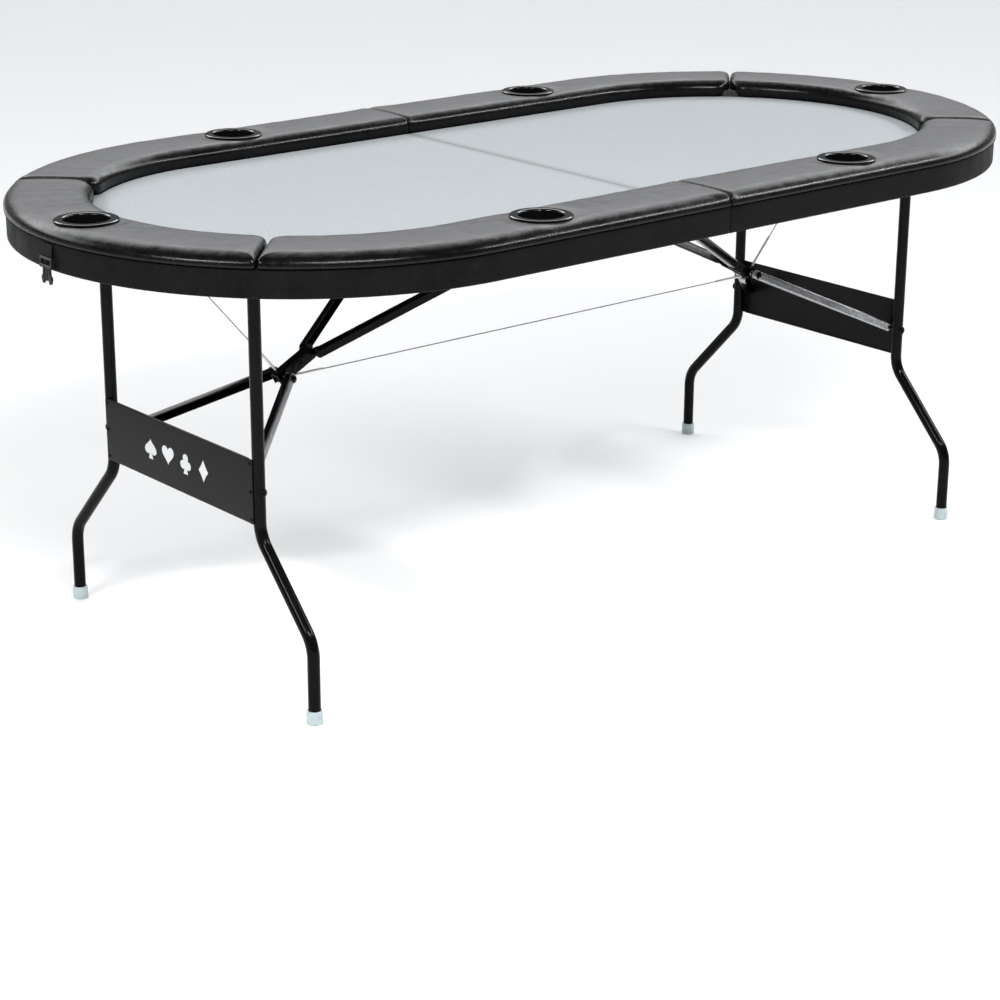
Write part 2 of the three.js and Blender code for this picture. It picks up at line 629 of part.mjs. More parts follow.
function half(side) {
  const group = new THREE.Group();
  const turned = side === 'right';
  if (turned) group.rotation.z = Math.PI;
  // A piece built at +Y is the far one on the left half and the near one on the right half.
  const names = { [1]: turned ? 'near' : 'far', [-1]: turned ? 'far' : 'near' };

  add(group, `deck_board_${side}`, deckBoard(), 'board');
  add(group, `playing_cloth_${side}`, playingCloth(), 'cloth');
  add(group, `rail_core_${side}`, railCore(), 'board');
  add(group, `apron_${side}`, apron(), 'apron');
  add(group, `rail_pad_end_${side}`, railPad('end'), 'vinyl');
  add(group, `cup_end_${side}`, cup('end'), 'cup');
  add(group, `leg_crossbar_${side}`, crossbar(), 'steel');
  add(group, `leg_pivot_saddle_${side}`, pivotSaddle(), 'steel');
  add(group, `leg_plate_${side}`, legPlate(), 'plate');
  add(group, `knee_bracket_${side}`, kneeBracket(), 'steel');
  add(group, `brace_anchor_${side}`, braceAnchor(), 'steel');
  add(group, `knee_wire_${side}`, kneeWire(), 'zinc');
  add(group, `stay_wire_${side}`, stayWire(), 'zinc');
  add(group, `strap_${side}`, strap(), 'webbing');
  add(group, `buckle_${side}`, buckle(), 'cup');

  for (const across of [1, -1]) {
    const place = across > 0 ? 'far' : 'near';
    const name = names[across];
    add(group, `rail_pad_${name}_${side}`, railPad(place), 'vinyl');
    add(group, `cup_${name}_${side}`, cup(place), 'cup');
    add(group, `leg_tube_${name}_${side}`, legTube(across), 'steel');
    add(group, `foot_cap_${name}_${side}`, footCap(across), 'cap');
    add(group, `brace_bolt_${name}_${side}`, braceBolt(across), 'steel');
    add(group, `brace_lower_${name}_${side}`, lowerArm(across), 'zinc');
    add(group, `brace_upper_${name}_${side}`, upperArm(across), 'steel');
  }
  return group;
}

model.add(half('left'));
model.add(half('right'));
add(model, 'hinge_leaf_left', hingeLeaf(-1), 'steel');
add(model, 'hinge_leaf_right', hingeLeaf(1), 'steel');

export default model;
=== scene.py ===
# Folding poker table: the looks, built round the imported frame. +Z up.
# Shapes are in millimetres until new_object makes metres of them. Camera, lights and materials are in metres.
# Every shape is made for the left half. The right half is the same, turned half a turn about Z.
import json
import math

import bmesh
import bpy
import numpy as np
from mathutils import Matrix, Vector


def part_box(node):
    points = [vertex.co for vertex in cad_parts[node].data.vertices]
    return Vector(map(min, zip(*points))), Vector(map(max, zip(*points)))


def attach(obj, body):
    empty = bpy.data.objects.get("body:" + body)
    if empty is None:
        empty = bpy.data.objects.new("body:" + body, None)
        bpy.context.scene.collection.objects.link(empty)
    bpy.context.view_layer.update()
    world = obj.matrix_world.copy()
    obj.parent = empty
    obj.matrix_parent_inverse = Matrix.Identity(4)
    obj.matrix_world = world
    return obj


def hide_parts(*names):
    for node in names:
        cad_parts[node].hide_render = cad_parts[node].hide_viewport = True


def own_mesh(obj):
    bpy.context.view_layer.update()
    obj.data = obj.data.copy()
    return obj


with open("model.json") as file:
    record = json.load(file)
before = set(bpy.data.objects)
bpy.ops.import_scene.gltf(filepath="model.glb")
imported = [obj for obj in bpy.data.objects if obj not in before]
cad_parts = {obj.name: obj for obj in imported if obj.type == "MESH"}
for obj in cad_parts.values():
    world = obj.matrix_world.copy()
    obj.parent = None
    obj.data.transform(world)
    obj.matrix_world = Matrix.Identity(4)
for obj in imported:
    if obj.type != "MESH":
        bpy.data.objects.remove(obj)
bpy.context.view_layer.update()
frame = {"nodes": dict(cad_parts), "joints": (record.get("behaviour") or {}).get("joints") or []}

MM = 0.001
SIDES = ("left", "right")
TURN = {"left": Matrix.Identity(4), "right": Matrix.Rotation(math.pi, 4, "Z")}

# ---- sizes read from the frame ----


def box(node):
    """The low and high corners of a CAD node of the left half, in millimetres."""
    low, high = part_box(f"{node}_left")
    return low / MM, high / MM


def pivot(joint_name):
    """A joint's place, in millimetres."""
    joint = next(j for j in frame["joints"] if j["name"] == joint_name)
    return Vector(joint["pos_m"]) / MM


pad_high = box("rail_pad_far")[1]
cloth_high = box("playing_cloth")[1]
rod_high = box("brace_anchor")[1]
end_low = box("rail_pad_end")[0]
deck_low = box("deck_board")[0]
apron_low, apron_high = box("apron")
cup_low, cup_high = box("cup_far")
tube_low, tube_high = box("leg_tube_far")
foot_low, foot_high = box("foot_cap_far")
plate_low, plate_high = box("leg_plate")
bolt_low, bolt_high = box("brace_bolt_far")
strap_low, strap_high = box("strap")
buckle_low, buckle_high = box("buckle")
hinge_low, hinge_high = box("hinge_leaf")
wire_low, wire_high = box("knee_wire")
stay_low, stay_high = box("stay_wire")

GAP = 0.3
OUTER = pad_high.y
END_CENTRE = -end_low.x - OUTER
SKIRT = 8
INNER = cloth_high.y - SKIRT + GAP
CLOTH_TOP = cloth_high.z
PAD_TOP = pad_high.z
PAD_FLOOR = apron_high.z + GAP
CUP_MIDDLE = (cup_low + cup_high) / 2
CUP_CENTRES = {
    "end": Vector((sum(corner.x for corner in box("cup_end")) / 2, 0)),
    "far": Vector((CUP_MIDDLE.x, CUP_MIDDLE.y)),
    "near": Vector((CUP_MIDDLE.x, -CUP_MIDDLE.y)),
}
CUP_TOP = cup_high.z
CUP_BOTTOM = cup_low.z
FLANGE_RADIUS = (cup_high.y - cup_low.y) / 2

LEG_PIVOT = pivot("legs_left")
BOLT_POINT = pivot("brace_lower_left")
ANCHOR_POINT = pivot("brace_upper_left")
KNEE_POINT = pivot("knee_wire_left")
BRACE_ALONG = (ANCHOR_POINT - BOLT_POINT).normalized()
BRACE_UP = Vector((-BRACE_ALONG.z, 0, BRACE_ALONG.x))

# ---- helpers ----


def other(side, across):
    """The name of the piece that is built at +Y (across 1) or -Y (across -1) on the left half."""
    return "far" if (across > 0) == (side == "left") else "near"


def linked(name, data):
    """A new object of the scene with that data."""
    obj = bpy.data.objects.new(name, data)
    bpy.context.scene.collection.objects.link(obj)
    return obj


def new_object(name, verts, faces, materials, face_materials=None, smooth=True, sharp=None):
    """An object from points in millimetres. Edges sharper than that angle in degrees stay crisp."""
    mesh = bpy.data.meshes.new(name)
    mesh.from_pydata([tuple(Vector(v) * MM) for v in verts], [], [tuple(f) for f in faces])
    for material in materials:
        mesh.materials.append(material)
    if face_materials is not None:
        mesh.polygons.foreach_set("material_index", face_materials)
    bm = bmesh.new()
    bm.from_mesh(mesh)
    bmesh.ops.remove_doubles(bm, verts=bm.verts, dist=1e-6)
    bmesh.ops.recalc_face_normals(bm, faces=bm.faces)
    bm.to_mesh(mesh)
    bm.free()
    mesh.polygons.foreach_set("use_smooth", [smooth] * len(mesh.polygons))
    if sharp is not None:
        mesh.set_sharp_from_angle(angle=math.radians(sharp))
    return linked(name, mesh)


def place(obj, side, body, slot, *nodes):
    """Turns a piece built for the left half to its side, ties it to its body and hides the nodes it replaces.
    """
    obj.data.transform(TURN[side])
    obj.data.update()
    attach(obj, f"{body}_{side}")
    if nodes:
        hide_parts(*(f"{node}_{side}" for node in nodes))
    return obj


def piece(name, side, body, slot, shape, material, *nodes, sharp=None, smooth=True):
    """Makes a shape of one material and places it."""
    obj = new_object(f"{name}_{side}", *shape, [material], smooth=smooth, sharp=sharp)
    return place(obj, side, body, slot, *nodes)


def loft(rings, closed=True, caps=True):
    """Vertices and faces through rings of points; each ring has the same number of points."""
    rings = [list(ring) for ring in rings]
    n = len(rings[0])
    verts = [v for ring in rings for v in ring]
    faces = []
    for i in range(len(rings) - 1):
        for j in range(n if closed else n - 1):
            k = (j + 1) % n
            faces.append((i * n + j, i * n + k, (i + 1) * n + k, (i + 1) * n + j))
    if caps and closed:
        faces.append(tuple(reversed(range(n))))
        faces.append(tuple(range((len(rings) - 1) * n, len(rings) * n)))
    return verts, faces


def revolve(profile, segments, centre, axis="Z"):
    """A closed turned shape. The profile is (radius, height) and starts and ends on the axis."""
    turned = []
    for k in range(segments):
        angle = 2 * math.pi * k / segments
        for r, h in profile:
            p = Vector((r * math.cos(angle), r * math.sin(angle), h))
            if axis == "Y":
                p = Vector((p.x, p.z, -p.y))
            elif axis == "-X":
                p = Vector((-p.z, p.y, p.x))
            turned.append(p + centre)
    n = len(profile)
    faces = []
    for k in range(segments):
        m = (k + 1) % segments
        for j in range(n - 1):
            quad = [k * n + j, k * n + j + 1, m * n + j + 1, m * n + j]
            if profile[j][0] < 1e-9:
                quad = [k * n, k * n + 1, m * n + 1]
            elif profile[j + 1][0] < 1e-9:
                quad = [k * n + j, k * n + j + 1, m * n + j]
            faces.append(tuple(quad))
    return turned, faces


def arc(centre, radius, start, end, steps):
    """Points on an arc, angles in degrees."""
    return [
        (centre[0] + radius * math.cos(math.radians(start + (end - start) * i / steps)),
         centre[1] + radius * math.sin(math.radians(start + (end - start) * i / steps)))
        for i in range(steps + 1)
    ]


def smooth_step(low, high, x):
    t = np.clip((x - low) / (high - low), 0, 1)
    return t * t * (3 - 2 * t)


def spaced(length, edge, edge_steps, step):
    """Places from 0 to length, crowded as on a quarter circle near both ends."""
    near = [edge * (1 - math.cos(math.pi / 2 * i / edge_steps)) for i in range(edge_steps + 1)]
    count = max(1, round((length - 2 * edge) / step))
    middle = [edge + (length - 2 * edge) * i / count for i in range(1, count)]
    return near + middle + [length - x for x in reversed(near)]


def tube_path(corners, radius, steps):
    """A polyline through the corners, with each inner corner rounded to the radius."""
    points = [corners[0]]
    for before, corner, after in zip(corners, corners[1:], corners[2:]):
        a, b = (before - corner).normalized(), (after - corner).normalized()
        half = a.angle(b) / 2
        cut = radius / math.tan(half)
        centre = corner + (a + b).normalized() * (radius / math.sin(half))
        start, end = corner + a * cut - centre, corner + b * cut - centre
        sweep = start.angle(end)
        for i in range(steps + 1):
            t = sweep * i / steps
            points.append(centre + (start * math.sin(sweep - t) + end * math.sin(t)) / math.sin(sweep))
    points.append(corners[-1])
    return points


def round_bar(points, radius, sides=28, end_round=0.0, side_axis=Vector((1, 0, 0))):
    """A round bar along points that lie in a plane square to side_axis."""
    rings = []
    for i, p in enumerate(points):
        along = (points[min(i + 1, len(points) - 1)] - points[max(i - 1, 0)]).normalized()
        over = side_axis.cross(along).normalized()
        rings.append([
            p + radius * (side_axis * math.cos(turn) + over * math.sin(turn))
            for turn in (2 * math.pi * k / sides for k in range(sides))
        ])
    if end_round:
        for index, neighbour in ((0, 1), (-1, -2)):
            ring = rings[index]
            centre = sum(ring, Vector()) / sides
            along = (points[neighbour] - points[index]).normalized()
            rings[index] = [v + along * end_round for v in ring]
            lip = [centre + (v - centre) * (1 - end_round / radius) for v in ring]
            rings = [lip] + rings if index == 0 else rings + [lip]
    return loft(rings)


def between(start, end, count):
    return [start.lerp(end, i / count) for i in range(count + 1)]


def join_parts(parts):
    """Joins (verts, faces) lists into one."""
    verts, faces = [], []
    for part_verts, part_faces in parts:
        base = len(verts)
        verts += list(part_verts)
        faces += [tuple(base + i for i in f) for f in part_faces]
    return verts, faces


def rounded_box(low, high, radius, steps=3):
    """A box whose edges along Y and outline in X and Z are rounded."""
    half = Vector(((high.x - low.x) / 2 - radius, 0, (high.z - low.z) / 2 - radius))
    centre = (low + high) / 2
    outline = []
    for cx, cz, start in ((1, 1, 0), (-1, 1, 90), (-1, -1, 180), (1, -1, 270)):
        outline += arc((cx * half.x, cz * half.z), radius, start, start + 90, steps)
    edge = radius * 0.6
    rings = []
    for y, inset in ((low.y, edge), (low.y + edge, 0), (high.y - edge, 0), (high.y, edge)):
        shrink_x = 1 - inset / (half.x + radius)
        shrink_z = 1 - inset / (half.z + radius)
        rings.append([Vector((centre.x + x * shrink_x, y, centre.z + z * shrink_z)) for x, z in outline])
    return loft(rings)


WASHER = 0.9


def washer_and_head(centre, direction, washer_radius, head_radius, height):
    """A washer with a low domed head on it, at centre, facing along direction (+Y or -Y)."""
    profile = [(0, 0), (washer_radius, 0), (washer_radius, WASHER), (head_radius, WASHER)]
    for turn in map(math.radians, (10, 25, 40, 55, 70, 80)):
        profile.append((head_radius * math.cos(turn), WASHER + height * math.sin(turn)))
    profile.append((0, WASHER + height))
    if direction < 0:
        profile = [(r, -h) for r, h in profile]
    return revolve(profile, 20, centre, "Y")


# ---- materials ----


def add_node(tree, kind, values=None, **properties):
    """A shader node with its properties, and with its sockets linked or given values."""
    node = tree.nodes.new(kind)
    for key, value in properties.items():
        setattr(node, key, value)
    for key, value in (values or {}).items():
        if isinstance(value, bpy.types.NodeSocket):
            tree.links.new(value, node.inputs[key])
        else:
            node.inputs[key].default_value = value
    return node


class Shader:
    """A Principled material whose nodes are added one by one."""

    def __init__(self, name, color, roughness, specular=0.5, **sockets):
        self.material = bpy.data.materials.new(name)
        self.material.use_nodes = True
        self.tree = self.material.node_tree
        self.principled = self.tree.nodes["Principled BSDF"]
        self.set("Base Color", (*color, 1))
        self.set("Roughness", roughness)
        self.set("Specular IOR Level", specular)
        for key, value in sockets.items():
            self.set(key.replace("_", " "), value)
        self.place = self.add("ShaderNodeTexCoord").outputs["Object"]
        self.material.diffuse_color = (*color, 1)

    def set(self, socket, value):
        self.principled.inputs[socket].default_value = value

    def add(self, kind, values=None, **properties):
        return add_node(self.tree, kind, values, **properties)

    def axis(self, name):
        """The distance along that axis of the object, in metres."""
        return self.add("ShaderNodeSeparateXYZ", {"Vector": self.place}).outputs[name]

    def stretched(self, x, y, z):
        return self.add("ShaderNodeMapping", {"Vector": self.place, "Scale": (x, y, z)}).outputs["Vector"]

    def noise(self, scale, detail=3.0, rough=0.5, distortion=0.0, vector=None):
        node = self.add("ShaderNodeTexNoise", {
            "Vector": vector or self.place, "Scale": scale, "Detail": detail,
            "Roughness": rough, "Distortion": distortion,
        })
        return node.outputs["Fac"]

    def cracks(self, scale):
        values = {"Vector": self.place, "Scale": scale}
        return self.add("ShaderNodeTexVoronoi", values, feature="DISTANCE_TO_EDGE").outputs["Distance"]

    def stripes(self, scale, direction, distortion=0.0):
        values = {"Vector": self.place, "Scale": scale, "Distortion": distortion}
        return self.add("ShaderNodeTexWave", values, bands_direction=direction).outputs["Fac"]

    def spread(self, value, low, high, from_low=0.0, from_high=1.0):
        node = self.add("ShaderNodeMapRange", {
            "Value": value, "From Min": from_low, "From Max": from_high, "To Min": low, "To Max": high,
        })
        return node.outputs["Result"]

    def math(self, operation, a, b):
        return self.add("ShaderNodeMath", {0: a, 1: b}, operation=operation).outputs[0]

    def mix(self, factor, low, high):
        node = self.add("ShaderNodeMix", {"Factor": factor}, data_type="RGBA")
        for socket, value in ((node.inputs[6], low), (node.inputs[7], high)):
            if isinstance(value, bpy.types.NodeSocket):
                self.tree.links.new(value, socket)
            else:
                socket.default_value = (*value, 1)
        return node.outputs[2]

    def link(self, value, socket):
        self.tree.links.new(value, self.principled.inputs[socket])

    def color(self, factor, low, high):
        self.link(self.mix(factor, low, high), "Base Color")

    def gloss(self, value, low, high, from_low=0.0, from_high=1.0):
        self.link(self.spread(value, low, high, from_low, from_high), "Roughness")

    def bump(self, *layers):
        """Layers of (height, distance in millimetres, strength), added up in this order."""
        normal = None
        for height, distance, strength in layers:
            values = {"Height": height, "Distance": distance * MM, "Strength": strength}
            if normal is not None:
                values["Normal"] = normal
            normal = self.add("ShaderNodeBump", values).outputs["Normal"]
        self.link(normal, "Normal")
        return self.material


def clouded(name, base, roughness, noise, dark, pale, gloss, *bumps, tone=(0, 1), **sockets):
    """A material whose colour and gloss drift with one soft noise.
    Each bump is (the arguments of a finer noise, or None for the soft one, distance, strength)."""
    s = Shader(name, base, roughness, **sockets)
    cloud = s.noise(*noise)
    s.color(s.spread(cloud, 0, 1, *tone), dark, pale)
    s.gloss(cloud, *gloss)
    layers = [(s.noise(*grain) if grain else cloud, depth, strength) for grain, depth, strength in bumps]
    return s.bump(*layers)


def leatherette():
    s = Shader("leatherette", (0.003, 0.003, 0.0032), 0.3, specular=0.2)
    blotch = s.noise(9, 4, 0.55, 0.4)
    streak = s.noise(34, 6, 0.62, 0.7, s.stretched(0.5, 1.0, 1.0))
    patch = s.noise(120, 5, 0.6, 0.5, s.stretched(0.6, 1.0, 1.0))
    cracks = s.cracks(420)
    grain = s.noise(1600, 2)
    mottle = s.math("ADD", s.math("MULTIPLY", blotch, 0.15), s.math("MULTIPLY", streak, 0.35))
    mottle = s.math("ADD", mottle, s.math("MULTIPLY", patch, 0.5))
    tone = s.spread(mottle, 0, 1, 0.41, 0.6)
    height = s.axis("Z")
    # Painted sheen: the pad's top is painted a lighter grey than its sides, standing in for the reflection of
    # the bright light behind the table; the same top mask also raises roughness and bump there.
    painted_sheen_top = s.spread(height, 0, 1, (PAD_TOP - 6) * MM, (PAD_TOP - 1.2) * MM)
    side_color = s.mix(tone, (0.001, 0.001, 0.0011), (0.004, 0.004, 0.0043))
    painted_sheen_color = s.mix(tone, (0.007, 0.007, 0.0072), (0.046, 0.046, 0.0475))
    s.color(painted_sheen_top, side_color, painted_sheen_color)
    s.link(s.math("ADD", s.spread(tone, 0.17, 0.3), s.math("MULTIPLY", painted_sheen_top, 0.17)), "Roughness")
    return s.bump(
        (blotch, 3, 0.2),
        (streak, 1.6, s.spread(painted_sheen_top, 0.15, 0.4)),
        (patch, 0.9, s.spread(painted_sheen_top, 0.04, 0.24)),
        (s.spread(cracks, 0, 1, 0, 0.1), 0.1, 0.12),
        (grain, 0.05, 0.15),
    )


def apron_vinyl():
    s = Shader("apron_vinyl", (0.006, 0.006, 0.0065), 0.5, 0.07)
    cloud = s.noise(25, 4)
    weave_up = s.stripes(420, "Z")
    weave_across = s.noise(900, 2, 0.5, 0, s.stretched(1, 1, 0.35))
    tone = s.math("ADD", s.math("MULTIPLY", cloud, 0.4), s.math("MULTIPLY", s.noise(260, 3, 0.7), 0.6))
    s.color(s.spread(tone, 0, 1, 0.35, 0.65), (0.002, 0.002, 0.0022), (0.0075, 0.0075, 0.008))
    s.gloss(cloud, 0.42, 0.6, 0.3, 0.7)
    return s.bump((cloud, 2, 0.05), (weave_up, 0.15, 0.12), (weave_across, 0.2, 0.3))


def gaming_cloth():
    s = Shader("gaming_cloth", (0.5, 0.53, 0.55), 0.95, 0.15, Sheen_Weight=0.15, Sheen_Roughness=0.5)
    warp = s.stripes(420, "X", 0.8)
    weft = s.stripes(420, "Y", 0.8)
    weave = s.math("MULTIPLY", warp, weft)
    speck = s.noise(330, 4, 0.75)
    fine = s.noise(1100, 3, 0.7)
    cloud = s.noise(5, 3)
    tone = s.math("ADD", s.math("MULTIPLY", speck, 0.55), s.math("MULTIPLY", fine, 0.45))
    body = s.mix(s.spread(tone, 0, 1, 0.34, 0.66), (0.27, 0.296, 0.31), (0.395, 0.422, 0.437))
    # Painted shadow: the cloth is painted darker near the seam, darkest within 3 mm of it and fading out by
    # 20 mm, as the shade of its rolled-down edges.
    from_seam = s.math("ABSOLUTE", s.axis("X"), 0)
    faded = s.mix(s.spread(cloud, 0, 0.2, 0.3, 0.7), body, (0.37, 0.396, 0.41))
    painted_seam_shadow = s.spread(from_seam, 0.55, 0, 0.003, 0.02)
    s.color(painted_seam_shadow, faded, (0.2, 0.21, 0.22))
    return s.bump((weave, 0.25, 0.4), (speck, 0.25, 0.35), (fine, 0.12, 0.4))


def painted_board():
    s = Shader("painted_board", (0.02, 0.019, 0.018), 0.6)
    fibre = s.noise(260, 5, 0.65, 0.4, s.stretched(0.35, 1, 1))
    cloud = s.noise(9, 4)
    s.color(s.spread(fibre, 0, 1, 0.35, 0.65), (0.014, 0.0135, 0.013), (0.032, 0.03, 0.028))
    s.gloss(cloud, 0.5, 0.72)
    return s.bump((fibre, 0.3, 0.3), (s.noise(1200, 2), 0.1, 0.3))


def cup_plastic():
    return clouded(
        "cup_plastic", (0.004, 0.004, 0.0045), 0.06, (60, 4), (0.002, 0.002, 0.0022), (0.005, 0.005, 0.0054),
        (0.04, 0.08, 0.3, 0.7), (None, 0.1, 0.04), ((900, 2), 0.01, 0.06), specular=0.3)


def enamel():
    return clouded(
        "enamel", (0.001, 0.001, 0.001), 0.1, (30, 4), (0.001, 0.001, 0.00105), (0.004, 0.004, 0.0042),
        (0.1, 0.18, 0.3, 0.7), ((420, 2), 0.12, 0.22), (None, 1, 0.05), specular=0.08)


def powder_coat():
    return clouded(
        "powder_coat", (0.006, 0.006, 0.0063), 0.36, (12, 4), (0.004, 0.004, 0.0042), (0.008, 0.008, 0.0085),
        (0.28, 0.4, 0.3, 0.7), ((1400, 2), 0.08, 0.35), (None, 2, 0.04), specular=0.1)


def galvanised():
    s = Shader("galvanised", (0.5, 0.5, 0.5), 0.35, Metallic=1.0)
    flake = s.add("ShaderNodeTexVoronoi", {"Vector": s.stretched(1, 1, 0.6), "Scale": 420}).outputs["Color"]
    value = s.add("ShaderNodeRGBToBW", {"Color": flake}).outputs[0]
    fine = s.noise(380, 4, 0.7, 0.8)
    mottle = s.math("ADD", s.math("MULTIPLY", value, 0.5), s.math("MULTIPLY", fine, 0.5))
    s.color(s.spread(mottle, 0, 1, 0.25, 0.75), (0.31, 0.3225, 0.34), (0.5, 0.505, 0.515))
    s.gloss(value, 0.3, 0.46, 0.2, 0.8)
    return s.bump((value, 0.05, 0.15), (fine, 0.1, 0.2))


def screw_steel():
    return clouded(
        "screw_steel", (0.62, 0.62, 0.63), 0.24, (700, 3), (0.5, 0.5, 0.52), (0.74, 0.74, 0.75),
        (0.18, 0.34), (None, 0.05, 0.3), Metallic=1.0)


def foot_plastic():
    return clouded(
        "foot_plastic", (0.55, 0.67, 0.7), 0.34, (90, 4), (0.4, 0.49, 0.51), (0.5, 0.58, 0.6),
        (0.28, 0.42), (None, 0.3, 0.12), ((1500, 2), 0.05, 0.2), tone=(0.3, 0.7),
        Subsurface_Weight=0.15, Subsurface_Scale=0.004)


def webbing():
    s = Shader("webbing", (0.008, 0.008, 0.0085), 0.8, specular=0.2)
    rib = s.stripes(180, "Z", 0.4)
    thread = s.stripes(330, "Y", 0.4)
    weave = s.math("MULTIPLY", rib, thread)
    s.color(weave, (0.004, 0.004, 0.0045), (0.014, 0.014, 0.015))
    return s.bump((weave, 0.5, 0.6), (s.noise(1500, 2), 0.1, 0.4))


def buckle_plastic():
    return clouded(
        "buckle_plastic", (0.008, 0.008, 0.0085), 0.38, (240, 3), (0.005, 0.005, 0.0055),
        (0.011, 0.011, 0.0115), (0.3, 0.48), ((1800, 2), 0.08, 0.4), specular=0.3)


def wire_steel():
    s = Shader("wire_steel", (0.58, 0.59, 0.6), 0.32, Metallic=1.0)
    lay = s.stripes(900, "DIAGONAL")
    s.color(lay, (0.14, 0.14, 0.145), (0.42, 0.43, 0.44))
    s.gloss(lay, 0.42, 0.26)
    return s.bump((lay, 0.2, 0.6))


def sleeve_plastic():
    return clouded(
        "sleeve_plastic", (0.8, 0.8, 0.79), 0.35, (200, 3), (0.74, 0.74, 0.73), (0.87, 0.87, 0.86),
        (0.28, 0.45), (None, 0.2, 0.2))


def emblem_print():
    return clouded(
        "emblem_print", (0.75, 0.76, 0.77), 0.45, (420, 4, 0.7), (0.42, 0.43, 0.44), (0.66, 0.67, 0.68),
        (0.55, 0.38), (None, 0.05, 0.3), tone=(0.25, 0.55))


def pale_floor():
    s = Shader("pale_floor", (0.93, 0.93, 0.93), 0.7, specular=0.1)
    cloud = s.noise(3, 3)
    s.color(cloud, (0.92, 0.92, 0.92), (0.94, 0.94, 0.94))
    return s.material


VINYL = leatherette()
APRON = apron_vinyl()
CLOTH = gaming_cloth()
BOARD = painted_board()
CUP = cup_plastic()
ENAMEL = enamel()
PLATE = powder_coat()
ZINC = galvanised()
SCREW = screw_steel()
FOOT = foot_plastic()
WEBBING = webbing()
BUCKLE = buckle_plastic()
WIRE = wire_steel()
SLEEVE = sleeve_plastic()
EMBLEM = emblem_print()


# ---- the plan of the table ----

ARC_PAD = math.pi / 4
PAD_MIDDLE = (INNER + OUTER) / 2


def on_round_end(distance, angle, z=0.0):
    """A point of the round end, at a distance from its centre and an angle from +X."""
    return Vector((-END_CENTRE + distance * math.cos(angle), distance * math.sin(angle), z))


def on_plan(along, distance):
    """The plan point of the far side at a place along the rail, measured on its middle line from the seam.
    Past the straight stretch it follows the round end."""
    if along <= END_CENTRE:
        return Vector((-along, distance))
    return on_round_end(distance, math.pi / 2 + (along - END_CENTRE) / PAD_MIDDLE).xy


# ---- rail pads ----

SPLIT_GAP = 0.5
PAD_INNER_CORNER = 34
PAD_OUTER_CORNER = 6
PAD_INNER_ROUND = 21
PAD_OUTER_ROUND = 29
PAD_END_ROUND = 11
SEAM_CORNER = 4.5
SEAM_ROUND = 4
PAD_SIDE_TOP = 698.5
PAD_CROWN = 1.6
PAD_CELL = 5.5
PAD_OVERHANG = 3
PAD_BULGE = 2.15
SEAM_END = (SEAM_CORNER, SEAM_CORNER, SEAM_ROUND)
SPLIT_END = (PAD_INNER_CORNER, PAD_OUTER_CORNER, PAD_END_ROUND)
PAD_SIDE_PROFILE = ((0.22, 0.02), (0.5, 0.2), (0.72, 0.6), (0.88, 1.35), (0.97, 2.3), (1.0, 3.0))
CORNER_STEPS = 9
PAD_CUP = {"side": CUP_CENTRES["far"], "end": CUP_CENTRES["end"]}


def pucker(v, seed):
    """A gentle irregular ripple over a distance v, from -1 to 1."""
    rng = np.random.default_rng(seed)
    total = 0
    for period in (19, 12.5, 8.3, 5.9):
        total += math.sin(2 * math.pi * v / period + rng.uniform(0, 6.3)) * rng.uniform(0.5, 1)
    return total / 2.6


def pad_stations(length):
    """Places along a pad, crowded at both ends and where its plan corners turn."""
    quarter = [math.pi / 2 * k / CORNER_STEPS for k in range(1, CORNER_STEPS)]
    turns = [PAD_INNER_CORNER * (1 - math.cos(turn)) for turn in quarter]
    places = spaced(length, PAD_END_ROUND, 8, PAD_CELL) + turns + [length - x for x in turns]
    places = sorted(set(round(a, 3) for a in places))
    return [a for i, a in enumerate(places) if i == 0 or a - places[i - 1] > 0.05]


def pad_floor(v):
    """The pad's underside: on the cloth at its inner edge, over the apron's top edge at its outer one."""
    share = 1 - float(smooth_step(INNER + 5, INNER + 8, v))
    over_apron = float(smooth_step(OUTER - 12, OUTER - 9, v))
    return PAD_FLOOR + (CLOTH_TOP + GAP - PAD_FLOOR) * share - PAD_OVERHANG * over_apron


